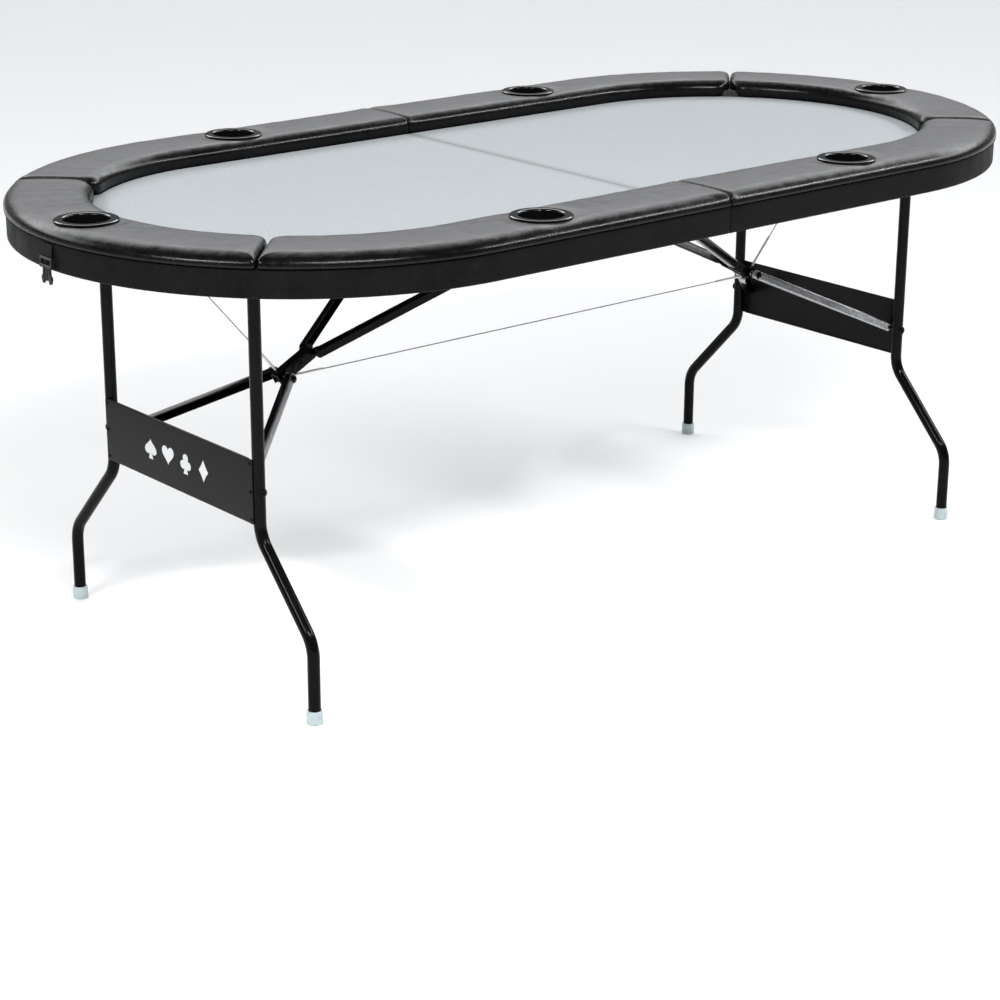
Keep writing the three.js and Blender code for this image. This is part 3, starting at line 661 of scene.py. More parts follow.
def pad_mesh(kind):
    """A padded rail piece: 'side' runs from the seam to the split at 45 degrees, 'end' between the splits."""
    split_at = END_CENTRE + ARC_PAD * PAD_MIDDLE - SPLIT_GAP
    if kind == "side":
        start, stop, ends = SPLIT_GAP, split_at, (SEAM_END, SPLIT_END)
    else:
        start, stop = split_at + 2 * SPLIT_GAP, END_CENTRE + 3 * ARC_PAD * PAD_MIDDLE - SPLIT_GAP
        ends = (SPLIT_END, SPLIT_END)
    length = stop - start
    width = OUTER - INNER
    along = pad_stations(length)
    across = [x / width for x in spaced(width, PAD_OUTER_ROUND + 1, 12, PAD_CELL)]

    def corner_cut(e, corner):
        return 0 if e >= corner else corner - math.sqrt(max(0, corner ** 2 - (corner - e) ** 2))

    def limits(a):
        low, high = INNER, OUTER
        for e, (inner_corner, outer_corner, _) in zip((a, length - a), ends):
            low = max(low, INNER + corner_cut(e, inner_corner))
            high = min(high, OUTER - corner_cut(e, outer_corner))
        return low, high

    def edge_distance(a, v):
        """Distance to the pad's edge and the radius of its rounding there."""
        from_inner, from_outer = v - INNER, OUTER - v
        sides = [(from_inner, PAD_INNER_ROUND), (from_outer, PAD_OUTER_ROUND)]
        best = min(from_inner, from_outer)
        for e, (inner_corner, outer_corner, end_round) in zip((a, length - a), ends):
            sides.append((e, end_round))
            nearest = e
            for corner, from_side in ((outer_corner, from_outer), (inner_corner, from_inner)):
                if e < corner and from_side < corner:
                    nearest = corner - math.hypot(corner - e, corner - from_side)
            best = min(best, nearest)
        weights = [1 / (max(d, 0) + 1.5) ** 2 for d, _ in sides]
        radius = sum(w * r for w, (_, r) in zip(weights, sides)) / sum(weights)
        return max(0.0, best), radius

    def from_split(a):
        return min(a, length - a) if kind == "end" else length - a

    def top_height(a, v, plan):
        distance, radius = edge_distance(a, v)
        share = min(1.0, distance / radius)
        rise = (1 - (1 - share) ** PAD_BULGE) ** (1 / PAD_BULGE)
        width_share = (v - INNER) / width
        from_cup = (plan - PAD_CUP[kind]).length
        near_cup = 1 - float(smooth_step(FLANGE_RADIUS - 2, FLANGE_RADIUS + 26, from_cup))
        crown = PAD_CROWN * 4 * width_share * (1 - width_share) * (1 - near_cup)
        ripple = math.exp(-from_split(a) / 7) * pucker(v, 3) * 0.45
        ripple += math.exp(-from_split(a) / 26) * pucker(v * 0.6, 9) * 0.3
        lean = 0.22 * pucker(a * 0.22, 21) + 0.16 * pucker(v * 0.4 + a * 0.13, 33)
        detail = crown - 0.5 * near_cup + ripple * min(1, share * 2) + lean * (1 - near_cup)
        return PAD_SIDE_TOP + (PAD_TOP - 0.6 - PAD_SIDE_TOP + detail) * rise

    rows, columns = len(along), len(across)
    verts, faces, places = [], [], {}
    for i, a in enumerate(along):
        low, high = limits(a)
        for j, t in enumerate(across):
            places[i, j] = v = low + t * (high - low)
            plan = on_plan(start + a, v)
            verts.append(Vector((plan.x, plan.y, top_height(a, v, plan))))
    cells = [(i, j) for i in range(rows - 1) for j in range(columns - 1)]
    for i, j in cells:
        k = i * columns + j
        faces.append((k, k + 1, k + columns + 1, k + columns))

    # The sides go down from the top's edge and tuck in
    loop = [(0, j) for j in range(columns)] + [(i, columns - 1) for i in range(1, rows)]
    loop += [(rows - 1, j) for j in range(columns - 2, -1, -1)] + [(i, 0) for i in range(rows - 2, 0, -1)]
    ring = [i * columns + j for i, j in loop]
    points = [verts[k] for k in ring]
    n = len(loop)
    inward = []
    for k in range(n):
        tangent = points[(k + 1) % n] - points[k - 1]
        inward.append(Vector((tangent.y, -tangent.x, 0)).normalized())
    middle = columns // 2
    if (on_plan(start + 20, PAD_MIDDLE).to_3d() - points[middle]).dot(inward[middle]) < 0:
        inward = [-d for d in inward]
    for drop, tuck in PAD_SIDE_PROFILE:
        fresh = []
        for k, (i, j) in enumerate(loop):
            v = places[i, j]
            wave = pucker(points[k].x * 0.9 + points[k].y * 0.7, 5) * 0.35
            wave *= math.exp(-from_split(along[i]) / 16)
            reach = tuck * (0.75 if v < INNER + 5 else 1) + wave * (1 - drop) * drop * 4
            base = points[k] + inward[k] * max(0, reach)
            fresh.append(len(verts))
            verts.append(Vector((base.x, base.y, PAD_SIDE_TOP + (pad_floor(v) - PAD_SIDE_TOP) * drop)))
        faces += [(ring[k], ring[(k + 1) % n], fresh[(k + 1) % n], fresh[k]) for k in range(n)]
        ring = fresh

    under = dict(zip(loop, ring))
    for i in range(1, rows - 1):
        for j in range(1, columns - 1):
            top = verts[i * columns + j]
            under[i, j] = len(verts)
            verts.append(Vector((top.x, top.y, pad_floor(places[i, j]))))
    for i, j in cells:
        faces.append((under[i, j], under[i + 1, j], under[i + 1, j + 1], under[i, j + 1]))
    return verts, faces


CUP_CUT_RADIUS = 39


def cut_cup_hole(obj, centre):
    """Cuts the round hole that the cup's body goes through."""
    tall = [(0, -60), (CUP_CUT_RADIUS, -60), (CUP_CUT_RADIUS, 60), (0, 60)]
    cutter = new_object("cutter", *revolve(tall, 64, centre.to_3d() + Vector((0, 0, PAD_TOP))), [])
    cut = obj.modifiers.new("cup_hole", "BOOLEAN")
    cut.operation = "DIFFERENCE"
    cut.solver = "EXACT"
    cut.object = cutter
    depsgraph = bpy.context.evaluated_depsgraph_get()
    mesh = bpy.data.meshes.new_from_object(obj.evaluated_get(depsgraph))
    obj.modifiers.clear()
    obj.data = mesh
    bpy.data.objects.remove(cutter)
    mesh.polygons.foreach_set("use_smooth", [True] * len(mesh.polygons))
    mesh.set_sharp_from_angle(angle=math.radians(60))


def mirrored(obj, name):
    """The same piece mirrored across the table's length."""
    mesh = obj.data.copy()
    mesh.transform(Matrix.Scale(-1, 4, Vector((0, 1, 0))))
    mesh.flip_normals()
    return linked(name, mesh)


def copied(obj, name):
    return linked(name, obj.data.copy())


def build_rail_pads():
    made = {}
    for kind, cup in PAD_CUP.items():
        made[kind] = new_object(f"padding_{kind}", *pad_mesh(kind), [VINYL])
        cut_cup_hole(made[kind], cup)
    for side in SIDES:
        pads = ((copied, "side", other(side, 1)), (mirrored, "side", other(side, -1)), (copied, "end", "end"))
        for make, kind, name in pads:
            pad = make(made[kind], f"padding_{name}_{side}")
            place(pad, side, "half", "rail_vinyl", f"rail_pad_{name}")
    for obj in made.values():
        bpy.data.objects.remove(obj)


# ---- apron, cloth and cups ----

APRON_ARC_STEPS = 96
APRON_TOP_ROUND = 1.6
APRON_BOTTOM_ROUND = 3
APRON_END_ROUND = 1.2
APRON_THICKNESS = 12


def band_section(inner, outer, bottom, top, inset):
    """The apron's section as (distance, height), shrunk by an inset where it ends."""
    inner, outer, bottom, top = inner + inset, outer - inset, bottom + inset, top - inset
    points = arc((outer - APRON_BOTTOM_ROUND, bottom + APRON_BOTTOM_ROUND), APRON_BOTTOM_ROUND, -90, 0, 5)
    points += [(outer, bottom + (top - bottom) * k / 4) for k in (1, 2, 3)]
    points += arc((outer - APRON_TOP_ROUND, top - APRON_TOP_ROUND), APRON_TOP_ROUND, 0, 90, 4)
    points += arc((inner + APRON_TOP_ROUND, top - APRON_TOP_ROUND), APRON_TOP_ROUND, 90, 180, 2)
    points += arc((inner + APRON_TOP_ROUND, bottom + APRON_TOP_ROUND), APRON_TOP_ROUND, 180, 270, 2)
    return points


def build_apron(side):
    """The covered band round the half's edge, and the board across the seam."""
    outer = apron_high.y
    inner = outer - APRON_THICKNESS
    stations = []
    for i in range(5):
        e = APRON_END_ROUND * (1 - math.cos(math.pi / 2 * i / 4))
        stations.append((e, APRON_END_ROUND - math.sqrt(APRON_END_ROUND ** 2 - (APRON_END_ROUND - e) ** 2)))
    stations += [(END_CENTRE * k / 12, 0) for k in range(1, 12)]

    def section(inset=0):
        return band_section(inner, outer, apron_low.z, apron_high.z - PAD_OVERHANG, inset)

    def straight(across, stretch):
        return [[Vector((-GAP - e, across * d, z)) for d, z in section(inset)] for e, inset in stretch]

    rings = straight(1, stations)
    for k in range(APRON_ARC_STEPS + 1):
        angle = math.pi / 2 + math.pi * k / APRON_ARC_STEPS
        rings.append([on_round_end(d, angle, z) for d, z in section()])
    rings += straight(-1, reversed(stations))
    piece("apron_cover", side, "half", "apron_vinyl", loft(rings), APRON, "apron", sharp=50)
    low = Vector((-GAP - APRON_THICKNESS, -inner, apron_low.z))
    board = rounded_box(low, Vector((-GAP, inner, deck_low.z - GAP)), 1.2)
    piece("seam_board", side, "half", "apron_vinyl", board, APRON, sharp=50)


CLOTH_ROLL = 7
CLOTH_DROP = 2.2
CLOTH_SHEET = 0.8
CLOTH_ARC_STEPS = 96


def build_playing_cloth(side):
    """One sheet of cloth glued to the deck. Its edge rolls down at the seam and goes under the rail."""
    radius = cloth_high.y
    ring_at = [radius * k / 24 for k in range(24)] + [radius]
    stations = [(GAP, 2 * CLOTH_DROP)]
    for k in range(9):
        turn = math.pi / 2 * k / 8
        stations.append((GAP + CLOTH_ROLL * (1 - math.cos(turn)), CLOTH_DROP * (1 - math.sin(turn))))
    stations += [(END_CENTRE * k / 40, 0.0) for k in range(2, 40)]

    def straight(across, stretch):
        return [[Vector((-e, across * d, CLOTH_TOP - drop)) for d in ring_at] for e, drop in stretch]

    rings = straight(1, stations)
    for k in range(CLOTH_ARC_STEPS + 1):
        angle = math.pi / 2 + math.pi * k / CLOTH_ARC_STEPS
        rings.append([on_round_end(d, angle, CLOTH_TOP) for d in ring_at])
    rings += straight(-1, reversed(stations))
    obj = new_object(f"table_cloth_{side}", *loft(rings, closed=False, caps=False), [CLOTH])
    if obj.data.polygons[0].normal.z < 0:
        obj.data.flip_normals()
    thick = obj.modifiers.new("thickness", "SOLIDIFY")
    thick.thickness = CLOTH_SHEET * MM
    thick.offset = -1
    place(obj, side, "half", "cloth", "playing_cloth")


def cup_profile():
    """The cup's section as (radius, height): flange, rolled lip, stepped wall and floor."""
    wall = 33.2
    step_z = CUP_BOTTOM + 17
    flange_bottom = PAD_TOP + GAP
    points = [(0, CUP_BOTTOM + 2.6), (12, CUP_BOTTOM + 2.6), (13, CUP_BOTTOM + 3.2)]
    points += [(15, CUP_BOTTOM + 3.2), (16, CUP_BOTTOM + 2.4)]
    points += arc((wall - 6.5, CUP_BOTTOM + 6), 3.6, -90, 0, 4)
    points += [(wall - 2.6, step_z - 1), (wall - 2.2, step_z), (wall - 0.6, step_z + 0.6)]
    points += [(wall, step_z + 1.6), (wall + 0.5, CUP_TOP - 4.6)]
    points += arc((wall + 3.4, CUP_TOP - 3.0), 2.9, 180, 96, 6)
    crest = wall + 4.2
    for k in range(1, 9):
        share = k / 8
        drop = 0.05 + 0.12 * share + 0.9 * share ** 14
        points.append((crest + (FLANGE_RADIUS - crest) * share, CUP_TOP - drop))
    points += [(FLANGE_RADIUS, flange_bottom + 0.5), (FLANGE_RADIUS - 0.4, flange_bottom)]
    points += [(35.5, flange_bottom), (35.5, CUP_BOTTOM + 18), (33.5, CUP_BOTTOM + 16)]
    points += arc((30.5, CUP_BOTTOM + 3), 3, 0, -90, 4)
    points += [(0, CUP_BOTTOM)]
    return points


def build_cups(side):
    for key, centre in CUP_CENTRES.items():
        name = "end" if key == "end" else other(side, 1 if key == "far" else -1)
        shape = revolve(cup_profile(), 72, centre.to_3d())
        piece(f"cup_holder_{name}", side, "half", "cup_plastic", shape, CUP, f"cup_{name}", sharp=48)


# ---- leg sets ----

TUBE_RADIUS = (tube_high.x - tube_low.x) / 2
BEND_RADIUS = 55
TUBE_STEP = 30
UPPER_BEND_Z = 257
LOWER_BEND_Z = 123
TUBE_Y = (bolt_high.y - 4) - TUBE_RADIUS - GAP
FOOT_Y = (foot_low.y + foot_high.y) / 2
FOOT_HEIGHT = foot_high.z


def build_leg_tube(side, across):
    name = other(side, across)
    corners = [
        Vector((LEG_PIVOT.x, across * y, z)) for y, z in (
            (TUBE_Y, tube_high.z), (TUBE_Y, UPPER_BEND_Z), (FOOT_Y, LOWER_BEND_Z), (FOOT_Y, tube_low.z))
    ]
    points = tube_path(corners, BEND_RADIUS, 14)
    dense = [points[0]]
    for a, b in zip(points, points[1:]):
        count = max(1, round((b - a).length / TUBE_STEP))
        dense += between(a, b, count)[1:]
    tube = round_bar(dense, TUBE_RADIUS, 32)
    piece(f"tube_{name}", side, "leg_set", "leg_steel", tube, ENAMEL, f"leg_tube_{name}", sharp=50)


def build_foot_cap(side, across):
    name = other(side, across)
    outer = (foot_high.x - foot_low.x) / 2
    grip = TUBE_RADIUS + 0.1
    profile = [(0, 0)] + arc((outer - 2, 2), 2, -90, 0, 4)
    profile += [(outer - 0.15, FOOT_HEIGHT * 0.3), (outer - 0.2, FOOT_HEIGHT * 0.32)]
    profile += [(outer - 0.6, FOOT_HEIGHT * 0.36), (outer - 0.6, FOOT_HEIGHT * 0.4)]
    profile += [(outer - 0.25, FOOT_HEIGHT * 0.44)]
    profile += arc((outer - 1.7, FOOT_HEIGHT - 1.2), 1.2, 0, 90, 4)
    profile += [(grip, FOOT_HEIGHT - 0.4), (grip, tube_low.z - GAP), (0, tube_low.z - GAP)]
    cap = revolve(profile, 40, Vector((LEG_PIVOT.x, across * FOOT_Y, 0)))
    piece(f"foot_{name}", side, "leg_set", "foot_plastic", cap, FOOT, f"foot_cap_{name}", sharp=55)


PLATE_HEM = 2
PLATE_BEND = 1.5


def build_plate(side):
    """The plate with its top and bottom edges hemmed towards the tubes, and three screws at each end."""
    low, high = plate_low, plate_high
    t = high.x - low.x
    reach = high.x + PLATE_HEM

    def bend(radius, up, angles):
        """The curve where the plate turns into its upper (up 1) or lower (up -1) hem."""
        z = high.z - t - PLATE_BEND if up > 0 else low.z + t + PLATE_BEND
        turns = [math.radians(a) for a in angles]
        return [(high.x + PLATE_BEND - radius * math.cos(a), z + up * radius * math.sin(a)) for a in turns]

    section = [(high.x, low.z + t + PLATE_BEND), (high.x, high.z - t - PLATE_BEND)]
    section += bend(PLATE_BEND, 1, (20, 45, 70, 90)) + [(reach, high.z - t), (reach, high.z)]
    section += bend(PLATE_BEND + t, 1, (90, 70, 45, 20, 0)) + bend(PLATE_BEND + t, -1, (0, 20, 45, 70, 90))
    section += [(reach, low.z), (reach, low.z + t)] + bend(PLATE_BEND, -1, (90, 70, 45, 20))
    flat = [(min(x, high.x), z) for x, z in section]
    hem_end = TUBE_Y - TUBE_RADIUS - 1
    rings = []
    for y, outline in ((low.y, flat), (-hem_end, flat), (-hem_end + 0.5, section),
                       (hem_end - 0.5, section), (hem_end, flat), (high.y, flat)):
        rings.append([Vector((x, y, z)) for x, z in outline])
    piece("brace_plate", side, "leg_set", "plate_steel", loft(rings), PLATE, "leg_plate", sharp=40)
    head = [(0, 0), (3, 0), (2.9, 0.7), (2.2, 1.4), (1.2, 1.75), (1.1, 1.2), (0, 1.2)]
    screws = [
        revolve(head, 16, Vector((low.x, y, z)), "-X")
        for y in (low.y + 5, high.y - 5) for z in (low.z + 7, (low.z + high.z) / 2, high.z - 7)
    ]
    piece("plate_screws", side, "leg_set", "leg_steel", join_parts(screws), ENAMEL, sharp=50)


def build_bolt(side, across):
    """The pivot bolt through the tube, with a domed head and washer outside and a nut inside."""
    name = other(side, across)
    centre = Vector((LEG_PIVOT.x, 0, BOLT_POINT.z))
    outer = TUBE_Y + TUBE_RADIUS
    inner = bolt_low.y
    profile = [(0, inner - 1), (3, inner - 1), (3, outer - 0.2), (7, outer - 0.2), (7, outer + 1)]
    for a in (0, 15, 30, 45, 60, 75):
        profile.append((5.4 * math.cos(math.radians(a)), outer + 1.2 + 3.4 * math.sin(math.radians(a))))
    profile.append((0, outer + 4.6))
    bolt = revolve([(r, across * y) for r, y in profile], 28, centre, "Y")
    rings = []
    for y in (inner - 3, inner + 1.2):
        rings.append([centre + Vector((x, across * y, z)) for x, z in arc((0, 0), 5.5, 30, 330, 5)])
    parts = join_parts([bolt, loft(rings)])
    piece(f"pivot_bolt_{name}", side, "leg_set", "leg_steel", parts, ENAMEL, f"brace_bolt_{name}", sharp=40)


# ---- card suits on the plate, plain shapes and no lettering ----


def suit_outline(kind, size):
    """The outline of a diamond, heart or spade of that height, centred on 0, as (across, up)."""
    out = []
    if kind == "diamond":
        corners = [(0, 0.5), (0.36, 0), (0, -0.5), (-0.36, 0)]
        for (x0, z0), (x1, z1) in zip(corners, corners[1:] + corners[:1]):
            for t in (k / 6 for k in range(6)):
                pull = 1 - 0.07 * math.sin(math.pi * t)
                out.append(((x0 + (x1 - x0) * t) * pull * size, (z0 + (z1 - z0) * t) * pull * size))
        return out
    for t in (2 * math.pi * k / 40 for k in range(40)):
        z = 13 * math.cos(t) - 5 * math.cos(2 * t) - 2 * math.cos(3 * t) - math.cos(4 * t)
        out.append((16 * math.sin(t) ** 3 * size / 34, (z + 2.5) * size / 34))
    if kind == "spade":
        out = [(x, -z * 0.86 + 0.08 * size) for x, z in out]
    return out


SUIT_SIZE = 34
SUIT_PITCH = 48
SUIT_STEM = ((-0.17, -0.5), (0.17, -0.5), (0.04, -0.1), (-0.04, -0.1))
CLUB_DISCS = ((0, 0.23, 0.2), (0.21, -0.09, 0.2), (-0.21, -0.09, 0.2), (0, 0.02, 0.12))


def build_emblem(side):
    """Four small card suits in a row, printed on the plate's outer face."""
    face = plate_low.x
    middle = (plate_low.z + plate_high.z) / 2
    parts = []

    def ink(outline, y):
        layer = 0.25 + 0.02 * len(parts)
        ends = (face - layer, face + 0.2)
        parts.append(loft([[Vector((x, y - a, middle + b)) for a, b in outline] for x in ends]))

    for k, kind in enumerate(("spade", "heart", "club", "diamond")):
        y = (1.5 - k) * SUIT_PITCH
        if kind == "club":
            for x, z, r in CLUB_DISCS:
                ink(arc((x * SUIT_SIZE, z * SUIT_SIZE), r * SUIT_SIZE, 0, 345, 23), y)
        else:
            ink(suit_outline(kind, SUIT_SIZE), y)
        if kind in ("spade", "club"):
            ink([(x * SUIT_SIZE, z * SUIT_SIZE) for x, z in SUIT_STEM], y)
    piece("suit_print", side, "leg_set", None, join_parts(parts), EMBLEM, smooth=False)


# ---- the brace ----

ARM_WIDTH = 12
ARM_HEIGHT = 15
ARM_WALL = 1.6
ARM_CORNER = 2.6
ARM_END = ARM_HEIGHT / 2 + 0.8


def arm_section():
    """A U section as (inward, up), and how many of its points are on the outside."""
    w, h, t, r = ARM_WIDTH / 2, ARM_HEIGHT / 2, ARM_WALL, ARM_CORNER
    outer = [(w, -h)] + arc((-w + r, -h + r), r, 270, 180, 4) + [(-w, -h * 0.3), (-w, h * 0.3)]
    outer += arc((-w + r, h - r), r, 180, 90, 4) + [(w, h)]
    ri = r - t
    inner = [(w, h - t)] + arc((-w + r, h - r), ri, 90, 180, 3) + [(-w + t, h * 0.3), (-w + t, -h * 0.3)]
    inner += arc((-w + r, -h + r), ri, 180, 270, 3) + [(w, -h + t)]
    return outer + inner, len(outer)


def arm(start, end, back, ahead, name, zinc):
    """A channel from one pivot to another, open towards the table's middle line, with pressed round ends.
    It reaches back and ahead past them, and is bare zinc on the web, inside the channel or under it."""
    along = (end - start).normalized()
    inward = Vector((0, -math.copysign(1, start.y), 0))
    inward = (inward - along * inward.dot(along)).normalized()
    up = along.cross(inward)
    if up.z < 0:
        up = -up
    section, outer_count = arm_section()
    radius = ARM_END
    length = (end - start).length + back + ahead
    first = start - along * back
    rings = []
    for d in spaced(length, radius, 7, 40):
        e = min(d, length - d)
        limit = math.sqrt(max(0, radius ** 2 - max(0, radius - e) ** 2))
        squeeze = min(1.0, max(limit, 0.4) / (ARM_HEIGHT / 2))
        rings.append([first + along * d + inward * a + up * b * squeeze for a, b in section])
    verts, faces = loft(rings)
    n = len(section)
    chosen = []
    for face in faces:
        local = [i % n for i in face]
        if len(face) != 4:
            bare = False
        elif zinc == "inside":
            bare = min(local) >= outer_count and max(local) - min(local) <= 1
        elif zinc == "under":
            bare = max(local) <= 1
        else:
            on_web = [abs(section[i][0] + ARM_WIDTH / 2) < ARM_CORNER * 0.75 for i in local]
            bare = all(on_web) and max(local) < outer_count
        chosen.append(int(bare))
    return new_object(name, verts, faces, [ENAMEL, ZINC], face_materials=chosen, sharp=40)


LOWER_BOLT_Y = 174
LOWER_KNEE_Y = 21.5
UPPER_KNEE_Y = 17.2
UPPER_ANCHOR_Y = 215
UPPER_START = 60


def on_brace(distance, y=0.0, up=0.0):
    point = KNEE_POINT + BRACE_ALONG * distance + BRACE_UP * up
    return Vector((point.x, y, point.z))


def build_arms(side, across):
    name = other(side, across)
    bolt = Vector((BOLT_POINT.x, across * LOWER_BOLT_Y, BOLT_POINT.z))
    anchor = Vector((ANCHOR_POINT.x, across * UPPER_ANCHOR_Y, ANCHOR_POINT.z))
    lower_knee, upper_knee = on_brace(0, across * LOWER_KNEE_Y), on_brace(UPPER_START, across * UPPER_KNEE_Y)
    lower = arm(bolt, lower_knee, ARM_END, ARM_END, f"lower_arm_{name}_{side}", "web")
    place(lower, side, "brace_lower", "zinc_steel", f"brace_lower_{name}")
    zinc = "inside" if across < 0 else "under"
    upper = arm(upper_knee, anchor, 0, ARM_END, f"upper_arm_{name}_{side}", zinc)
    place(upper, side, "brace_upper", "leg_steel", f"brace_upper_{name}")


KNEE_PIN_Y = 29
KNEE_STRAP_MIDDLE = 46
KNEE_STRAP_OUTLINE = (
    (16, -4.5), (19, -6.5), (26, -7.5), (66, -7.5), (74, -4.5), (76, 0),
    (74, 4.5), (66, 7.5), (26, 7.5), (19, 6.5), (16, 4.5),
)


def build_knee(side):
    """Straps over the bracket's sides, pins, washers and a spring clip round the knee."""
    plates, pins = [], []
    for across in (-1, 1):
        rings = []
        for y, inset in ((9.7, 0), (10.6, 0), (11.1, 0.5)):
            rings.append([
                on_brace(
                    s - math.copysign(inset, s - KNEE_STRAP_MIDDLE), across * y,
                    up - math.copysign(inset, up) * (up != 0))
                for s, up in KNEE_STRAP_OUTLINE
            ])
        plates.append(loft(rings))
    for across in (-1, 1):
        plates.append(washer_and_head(on_brace(0, across * KNEE_PIN_Y), across, 7, 4.4, 3))
        for s in (34, 58):
            plates.append(washer_and_head(on_brace(s, across * 11), across, 4.4, 3, 1.6))
        pins.append(washer_and_head(on_brace(0, across * 10.1), across, 6, 4.5, 1.2))
    piece("knee_straps", side, "brace_upper", "leg_steel", join_parts(plates), ENAMEL, sharp=30)
    pins.append(round_bar(between(on_brace(0, -KNEE_PIN_Y), on_brace(0, KNEE_PIN_Y), 2), 2.7, 16))
    clip = []
    for turn in (math.radians(-70 + 200 * k / 12) for k in range(13)):
        clip.append(on_brace(-4 + 8.5 * math.cos(turn), 0, -13 + 7.5 * math.sin(turn)))
    rings = []
    for k, p in enumerate(clip):
        ahead = (clip[min(k + 1, 12)] - clip[max(k - 1, 0)]).normalized()
        normal = Vector((-ahead.z, 0, ahead.x))
        strip = ((-5, -0.4), (5, -0.4), (5, 0.4), (-5, 0.4))
        rings.append([p + Vector((0, y, 0)) + normal * t for y, t in strip])
    pins.append(loft(rings))
    piece("knee_pins", side, "brace_upper", "zinc_steel", join_parts(pins), SCREW, sharp=40)


# ---- wires ----

WIRE_RADIUS = 0.9
SLEEVE_RADIUS = 2.1
SLEEVE_LENGTH = 62
FOLD_SLACK_AXIS = (0.878, 0, 0.478)
STAY_SLACK_AXIS = (-0.23, 0, 0.973)


def wire(start, end, name, sleeve_at_start):
    """A stranded wire with a pale sleeve over the end at the knee."""
    along = (end - start).normalized()
    parts = [round_bar(between(start, end, 12), WIRE_RADIUS, 10, side_axis=Vector((0, 1, 0)))]
    sleeve_start = start + along * sleeve_at_start
    sleeve = between(sleeve_start, sleeve_start + along * SLEEVE_LENGTH, 4)
    parts.append(round_bar(sleeve, SLEEVE_RADIUS, 14, 0.6, side_axis=Vector((0, 1, 0))))
    split = len(parts[0][1])
    verts, faces = join_parts(parts)
    chosen = [0 if k < split else 1 for k in range(len(faces))]
    return new_object(name, verts, faces, [WIRE, SLEEVE], face_materials=chosen, sharp=50)


def build_wires(side):
    """The long wire's half and the short wire, each with a mesh of its own."""
    level = (wire_low.z + wire_high.z) / 2
    knee = Vector((wire_low.x, 0, level))
    long_wire = wire(knee, Vector((wire_high.x, 0, level)), f"long_wire_{side}", 14)
    foot = Vector((stay_high.x, 0, stay_low.z + WIRE_RADIUS * 0.6))
    head = Vector((stay_low.x + WIRE_RADIUS, 0, stay_high.z - WIRE_RADIUS))
    sign = 1 if side == "left" else -1

    def slacken(obj, axis, anchor):
        axis, anchor = (sign * axis[0], 0, axis[2]), (sign * anchor.x * MM, 0, anchor.z * MM)
        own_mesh(obj)

    place(long_wire, side, "knee_wire", "zinc_steel", "knee_wire")
    slacken(long_wire, FOLD_SLACK_AXIS, knee)
    short_wire = wire(foot, head, f"short_wire_{side}", 6)
    place(short_wire, side, "half", "zinc_steel", "stay_wire")
    slacken(short_wire, STAY_SLACK_AXIS, head)


# ---- strap and buckle ----


STRAP_THICKNESS = 1.5
STRAP_STEPS = 10


def build_strap(side):
    """Webbing sewn under the rail, looped through the bar of a buckle half."""
    face = (strap_low.x + strap_high.x) / 2
    half = strap_high.y
    top, bottom = strap_high.z, strap_low.z
    route = [
        (face, top - PAD_OVERHANG), (face - 0.1, top - 7), (face - 0.6, top - 11),
        (face - 1.0, bottom + 4), (face - 1.6, bottom),
    ]
    rings = []
    for k, (x, z) in enumerate(route):
        before, after = route[max(k - 1, 0)], route[min(k + 1, len(route) - 1)]
        tangent = Vector((after[0] - before[0], 0, after[1] - before[1])).normalized()
        normal = Vector((tangent.z, 0, -tangent.x)) * STRAP_THICKNESS / 2
        ring = []
        for sign, steps in ((1, range(STRAP_STEPS + 1)), (-1, range(STRAP_STEPS, -1, -1))):
            for i in steps:
                thin = 0.5 if i in (0, STRAP_STEPS) else 1
                ring.append(Vector((x, half * (1 - 2 * i / STRAP_STEPS), z)) + normal * sign * thin)
        rings.append(ring)
    piece("webbing", side, "strap", "webbing", loft(rings), WEBBING, "strap", sharp=60)
    build_buckle(side)


BUCKLE_HALF = 15.5
BUCKLE_BAR = 3.2
PRONG_SPINE = ((8.5, -15), (8.8, -20), (9.6, -25), (12.6, -29), (13.4, -32))
PRONG_INSIDE = ((5.6, -28), (5.4, -22), (5.2, -15))


def build_buckle(side):
    """The male half of a side-release buckle: strap bar, shoulder, two springy prongs and a middle guide."""
    middle = (buckle_low.x + buckle_high.x) / 2
    top, bottom = buckle_high.z, buckle_low.z
    tall = top - bottom
    parts = []

    def slab(outline, thick, edge=0.8):
        """A plate with that outline in Y and Z, its edges rounded off."""
        centre_y = sum(y for y, _ in outline) / len(outline)
        centre_z = sum(z for _, z in outline) / len(outline)

        def drawn_in(value, centre, inset):
            return value - math.copysign(min(inset, abs(value - centre)), value - centre)

        rings = []
        for x, inset in ((-thick / 2, edge), (edge - thick / 2, 0), (thick / 2 - edge, 0), (thick / 2, edge)):
            rings.append([
                Vector((middle + x, drawn_in(y, centre_y, inset), drawn_in(z, centre_z, inset)))
                for y, z in outline
            ])
        parts.append(loft(rings))

    w, bar = BUCKLE_HALF, BUCKLE_BAR
    for y0, y1, z0, z1, thick in (
            (-w, w, top - 4, top, 4.2), (-w, bar - w, top - 12, top - 2, 5),
            (w - bar, w, top - 12, top - 2, 5), (-w, w, top - 16, top - 11, 6.4),
            (-2, 2, bottom + 5, top - 14, 3.4)):
        slab([(y0, z0), (y1, z0), (y1, z1), (y0, z1)], thick)
    tip = ((11, 1.2 - tall), (8.6, 0.4 - tall), (6.6, 3 - tall))
    prong = PRONG_SPINE + tip + PRONG_INSIDE
    for across in (-1, 1):
        slab([(across * y, top + z) for y, z in prong], 4.2, 0.5)
    piece("buckle_half", side, "strap", "buckle_plastic", join_parts(parts), BUCKLE, "buckle", sharp=35)


# ---- underside ----


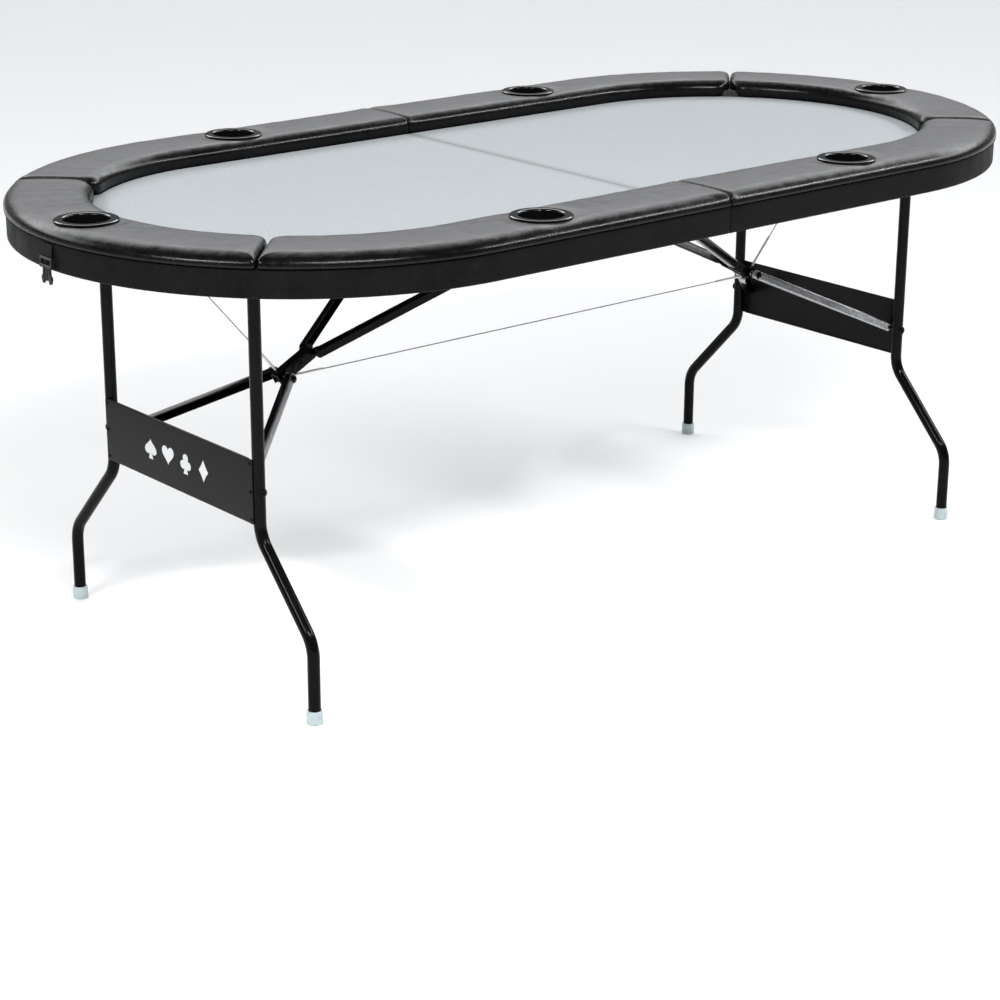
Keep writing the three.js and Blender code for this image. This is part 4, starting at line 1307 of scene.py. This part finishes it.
def flat_screw(x, y, z, radius):
    """A screw head that sits against a surface above it."""
    profile = [(0, 0), (radius, 0), (radius * 0.9, -0.5), (radius * 0.5, -0.95)]
    profile += [(radius * 0.35, -0.6), (0, -0.6)]
    return revolve(profile, 14, Vector((x, y, z)))


def build_underside(side):
    """Screws through the hinge leaf, the pivot saddle and the anchor lugs, and weld beads at the crossbar."""
    parts = []
    for k in range(6):
        y = hinge_low.y + (hinge_high.y - hinge_low.y) * (k + 0.5) / 6
        parts.append(flat_screw(hinge_low.x * 0.6, y, apron_low.z - 1.8, 3))
    for y in (-160, -60, 60, 160):
        for x in (-11, 11):
            parts.append(flat_screw(LEG_PIVOT.x + x, y, deck_low.z - 1.7, 2.6))
    for across in (-1, 1):
        for x in (-10.5, 10.5):
            parts.append(flat_screw(ANCHOR_POINT.x + x, across * (rod_high.y - 10), deck_low.z - 2.3, 2.2))
    piece("underside_screws", side, "half", "zinc_steel", join_parts(parts), SCREW, sharp=50)
    r = TUBE_RADIUS
    bead = [(0, -1.6), (r + 0.4, -1.6), (r + 1.2, -0.4), (r + 0.2, 1), (r - 1.6, 2.2), (0, 2.2)]
    at = [Vector((LEG_PIVOT.x, across * TUBE_Y, tube_high.z + 0.4)) for across in (-1, 1)]
    beads = [revolve(bead, 28, centre) for centre in at]
    piece("weld_beads", side, "leg_set", "leg_steel", join_parts(beads), ENAMEL, sharp=60)


# ---- materials of the CAD nodes that stay ----


def finish_nodes():
    kept = {
        "deck_board": BOARD, "rail_core": BOARD, "leg_crossbar": ENAMEL, "leg_pivot_saddle": ENAMEL,
        "knee_bracket": ENAMEL, "brace_anchor": ENAMEL, "hinge_leaf": ENAMEL,
    }
    for stem, material in kept.items():
        for side in SIDES:
            node = frame["nodes"][f"{stem}_{side}"]
            node.data.materials.clear()
            node.data.materials.append(material)
            node.data.polygons.foreach_set("use_smooth", [True] * len(node.data.polygons))
            node.data.set_sharp_from_angle(angle=math.radians(32))


# ---- floor, light and camera ----


CAMERA_PLACE = (-2.671, -3.059, 1.526)
CAMERA_TURN, CAMERA_TILT, CAMERA_ROLL = (math.radians(a) for a in (40.39, 19.33, 0.29))
CAMERA_LENS = 90.2


def add_camera():
    """The photograph's viewpoint."""
    camera = bpy.data.cameras.new("camera")
    camera.lens = CAMERA_LENS
    camera.sensor_width = 36
    camera.clip_end = 100
    obj = linked("camera", camera)
    level = math.cos(CAMERA_TILT)
    forward = Vector((math.sin(CAMERA_TURN) * level, math.cos(CAMERA_TURN) * level, -math.sin(CAMERA_TILT)))
    right = Vector((math.cos(CAMERA_TURN), -math.sin(CAMERA_TURN), 0))
    up = right.cross(forward)
    tilted_right = right * math.cos(CAMERA_ROLL) + up * math.sin(CAMERA_ROLL)
    tilted_up = up * math.cos(CAMERA_ROLL) - right * math.sin(CAMERA_ROLL)
    rotation = Matrix((tilted_right, tilted_up, -forward)).transposed()
    obj.matrix_world = Matrix.Translation(Vector(CAMERA_PLACE)) @ rotation.to_4x4()
    bpy.context.scene.camera = obj


def area_light(name, position, target, size, power):
    light = bpy.data.lights.new(name, "AREA")
    light.shape = "RECTANGLE"
    light.size, light.size_y = size
    light.energy = power
    obj = linked(name, light)
    obj.location = position
    obj.rotation_mode = "QUATERNION"
    obj.visible_camera = False
    obj.rotation_quaternion = (Vector(target) - Vector(position)).to_track_quat("-Z", "Y")


FLOOR_REACH = 20000
REAR_DIRECTION = (0.64, 0.77, 0)
REAR_LIGHT = 5.8
SOFT_LIGHT = 0.22


def add_studio():
    """A pale floor, a sky that is bright in a band behind the table, and three strips for the highlights."""
    corners = [(x * FLOOR_REACH, y * FLOOR_REACH, 0) for x, y in ((-1, -1), (1, -1), (1, 1), (-1, 1))]
    new_object("floor", corners, [(0, 1, 2, 3)], [pale_floor()])
    world = bpy.data.worlds.new("studio")
    bpy.context.scene.world = world
    world.use_nodes = True
    tree = world.node_tree
    background = tree.nodes["Background"]

    def ramp(value, low, high):
        values = {"Value": value, "From Min": low, "From Max": high}
        return add_node(tree, "ShaderNodeMapRange", values, interpolation_type="SMOOTHSTEP").outputs["Result"]

    def blend(operation, *values):
        return add_node(tree, "ShaderNodeMath", dict(enumerate(values)), operation=operation).outputs[0]

    sky = tree.nodes.new("ShaderNodeTexCoord").outputs["Generated"]
    height = add_node(tree, "ShaderNodeSeparateXYZ", {"Vector": sky}).outputs["Z"]
    behind = add_node(tree, "ShaderNodeVectorMath", {0: sky, 1: REAR_DIRECTION}, operation="DOT_PRODUCT")
    band = blend("MULTIPLY", ramp(height, 0.3, 0.42), ramp(height, 0.68, 0.52))
    rear = blend("MULTIPLY", ramp(behind.outputs["Value"], 0.0, 0.45), band)
    tree.links.new(blend("MULTIPLY_ADD", rear, REAR_LIGHT, SOFT_LIGHT), background.inputs["Strength"])
    background.inputs["Color"].default_value = (0.97, 0.985, 1, 1)
    area_light("right_strip", (2.6, -2.4, 2.9), (0, -0.2, 0.7), (2.2, 0.14), 70)
    area_light("front_strip", (-1.5, -3.0, 3.1), (-0.3, -0.2, 0.7), (1.8, 0.14), 100)
    area_light("left_strip", (-4.1, -0.9, 2.7), (-0.9, 0, 0.7), (1.8, 0.14), 100)
    bpy.context.scene.view_settings.view_transform = "Standard"


# ---- build ----

add_camera()
add_studio()
finish_nodes()
build_rail_pads()
for side_name in SIDES:
    build_apron(side_name)
    build_playing_cloth(side_name)
    build_cups(side_name)
    build_plate(side_name)
    build_emblem(side_name)
    build_knee(side_name)
    build_wires(side_name)
    build_strap(side_name)
    build_underside(side_name)
    for across_sign in (1, -1):
        build_leg_tube(side_name, across_sign)
        build_foot_cap(side_name, across_sign)
        build_bolt(side_name, across_sign)
        build_arms(side_name, across_sign)
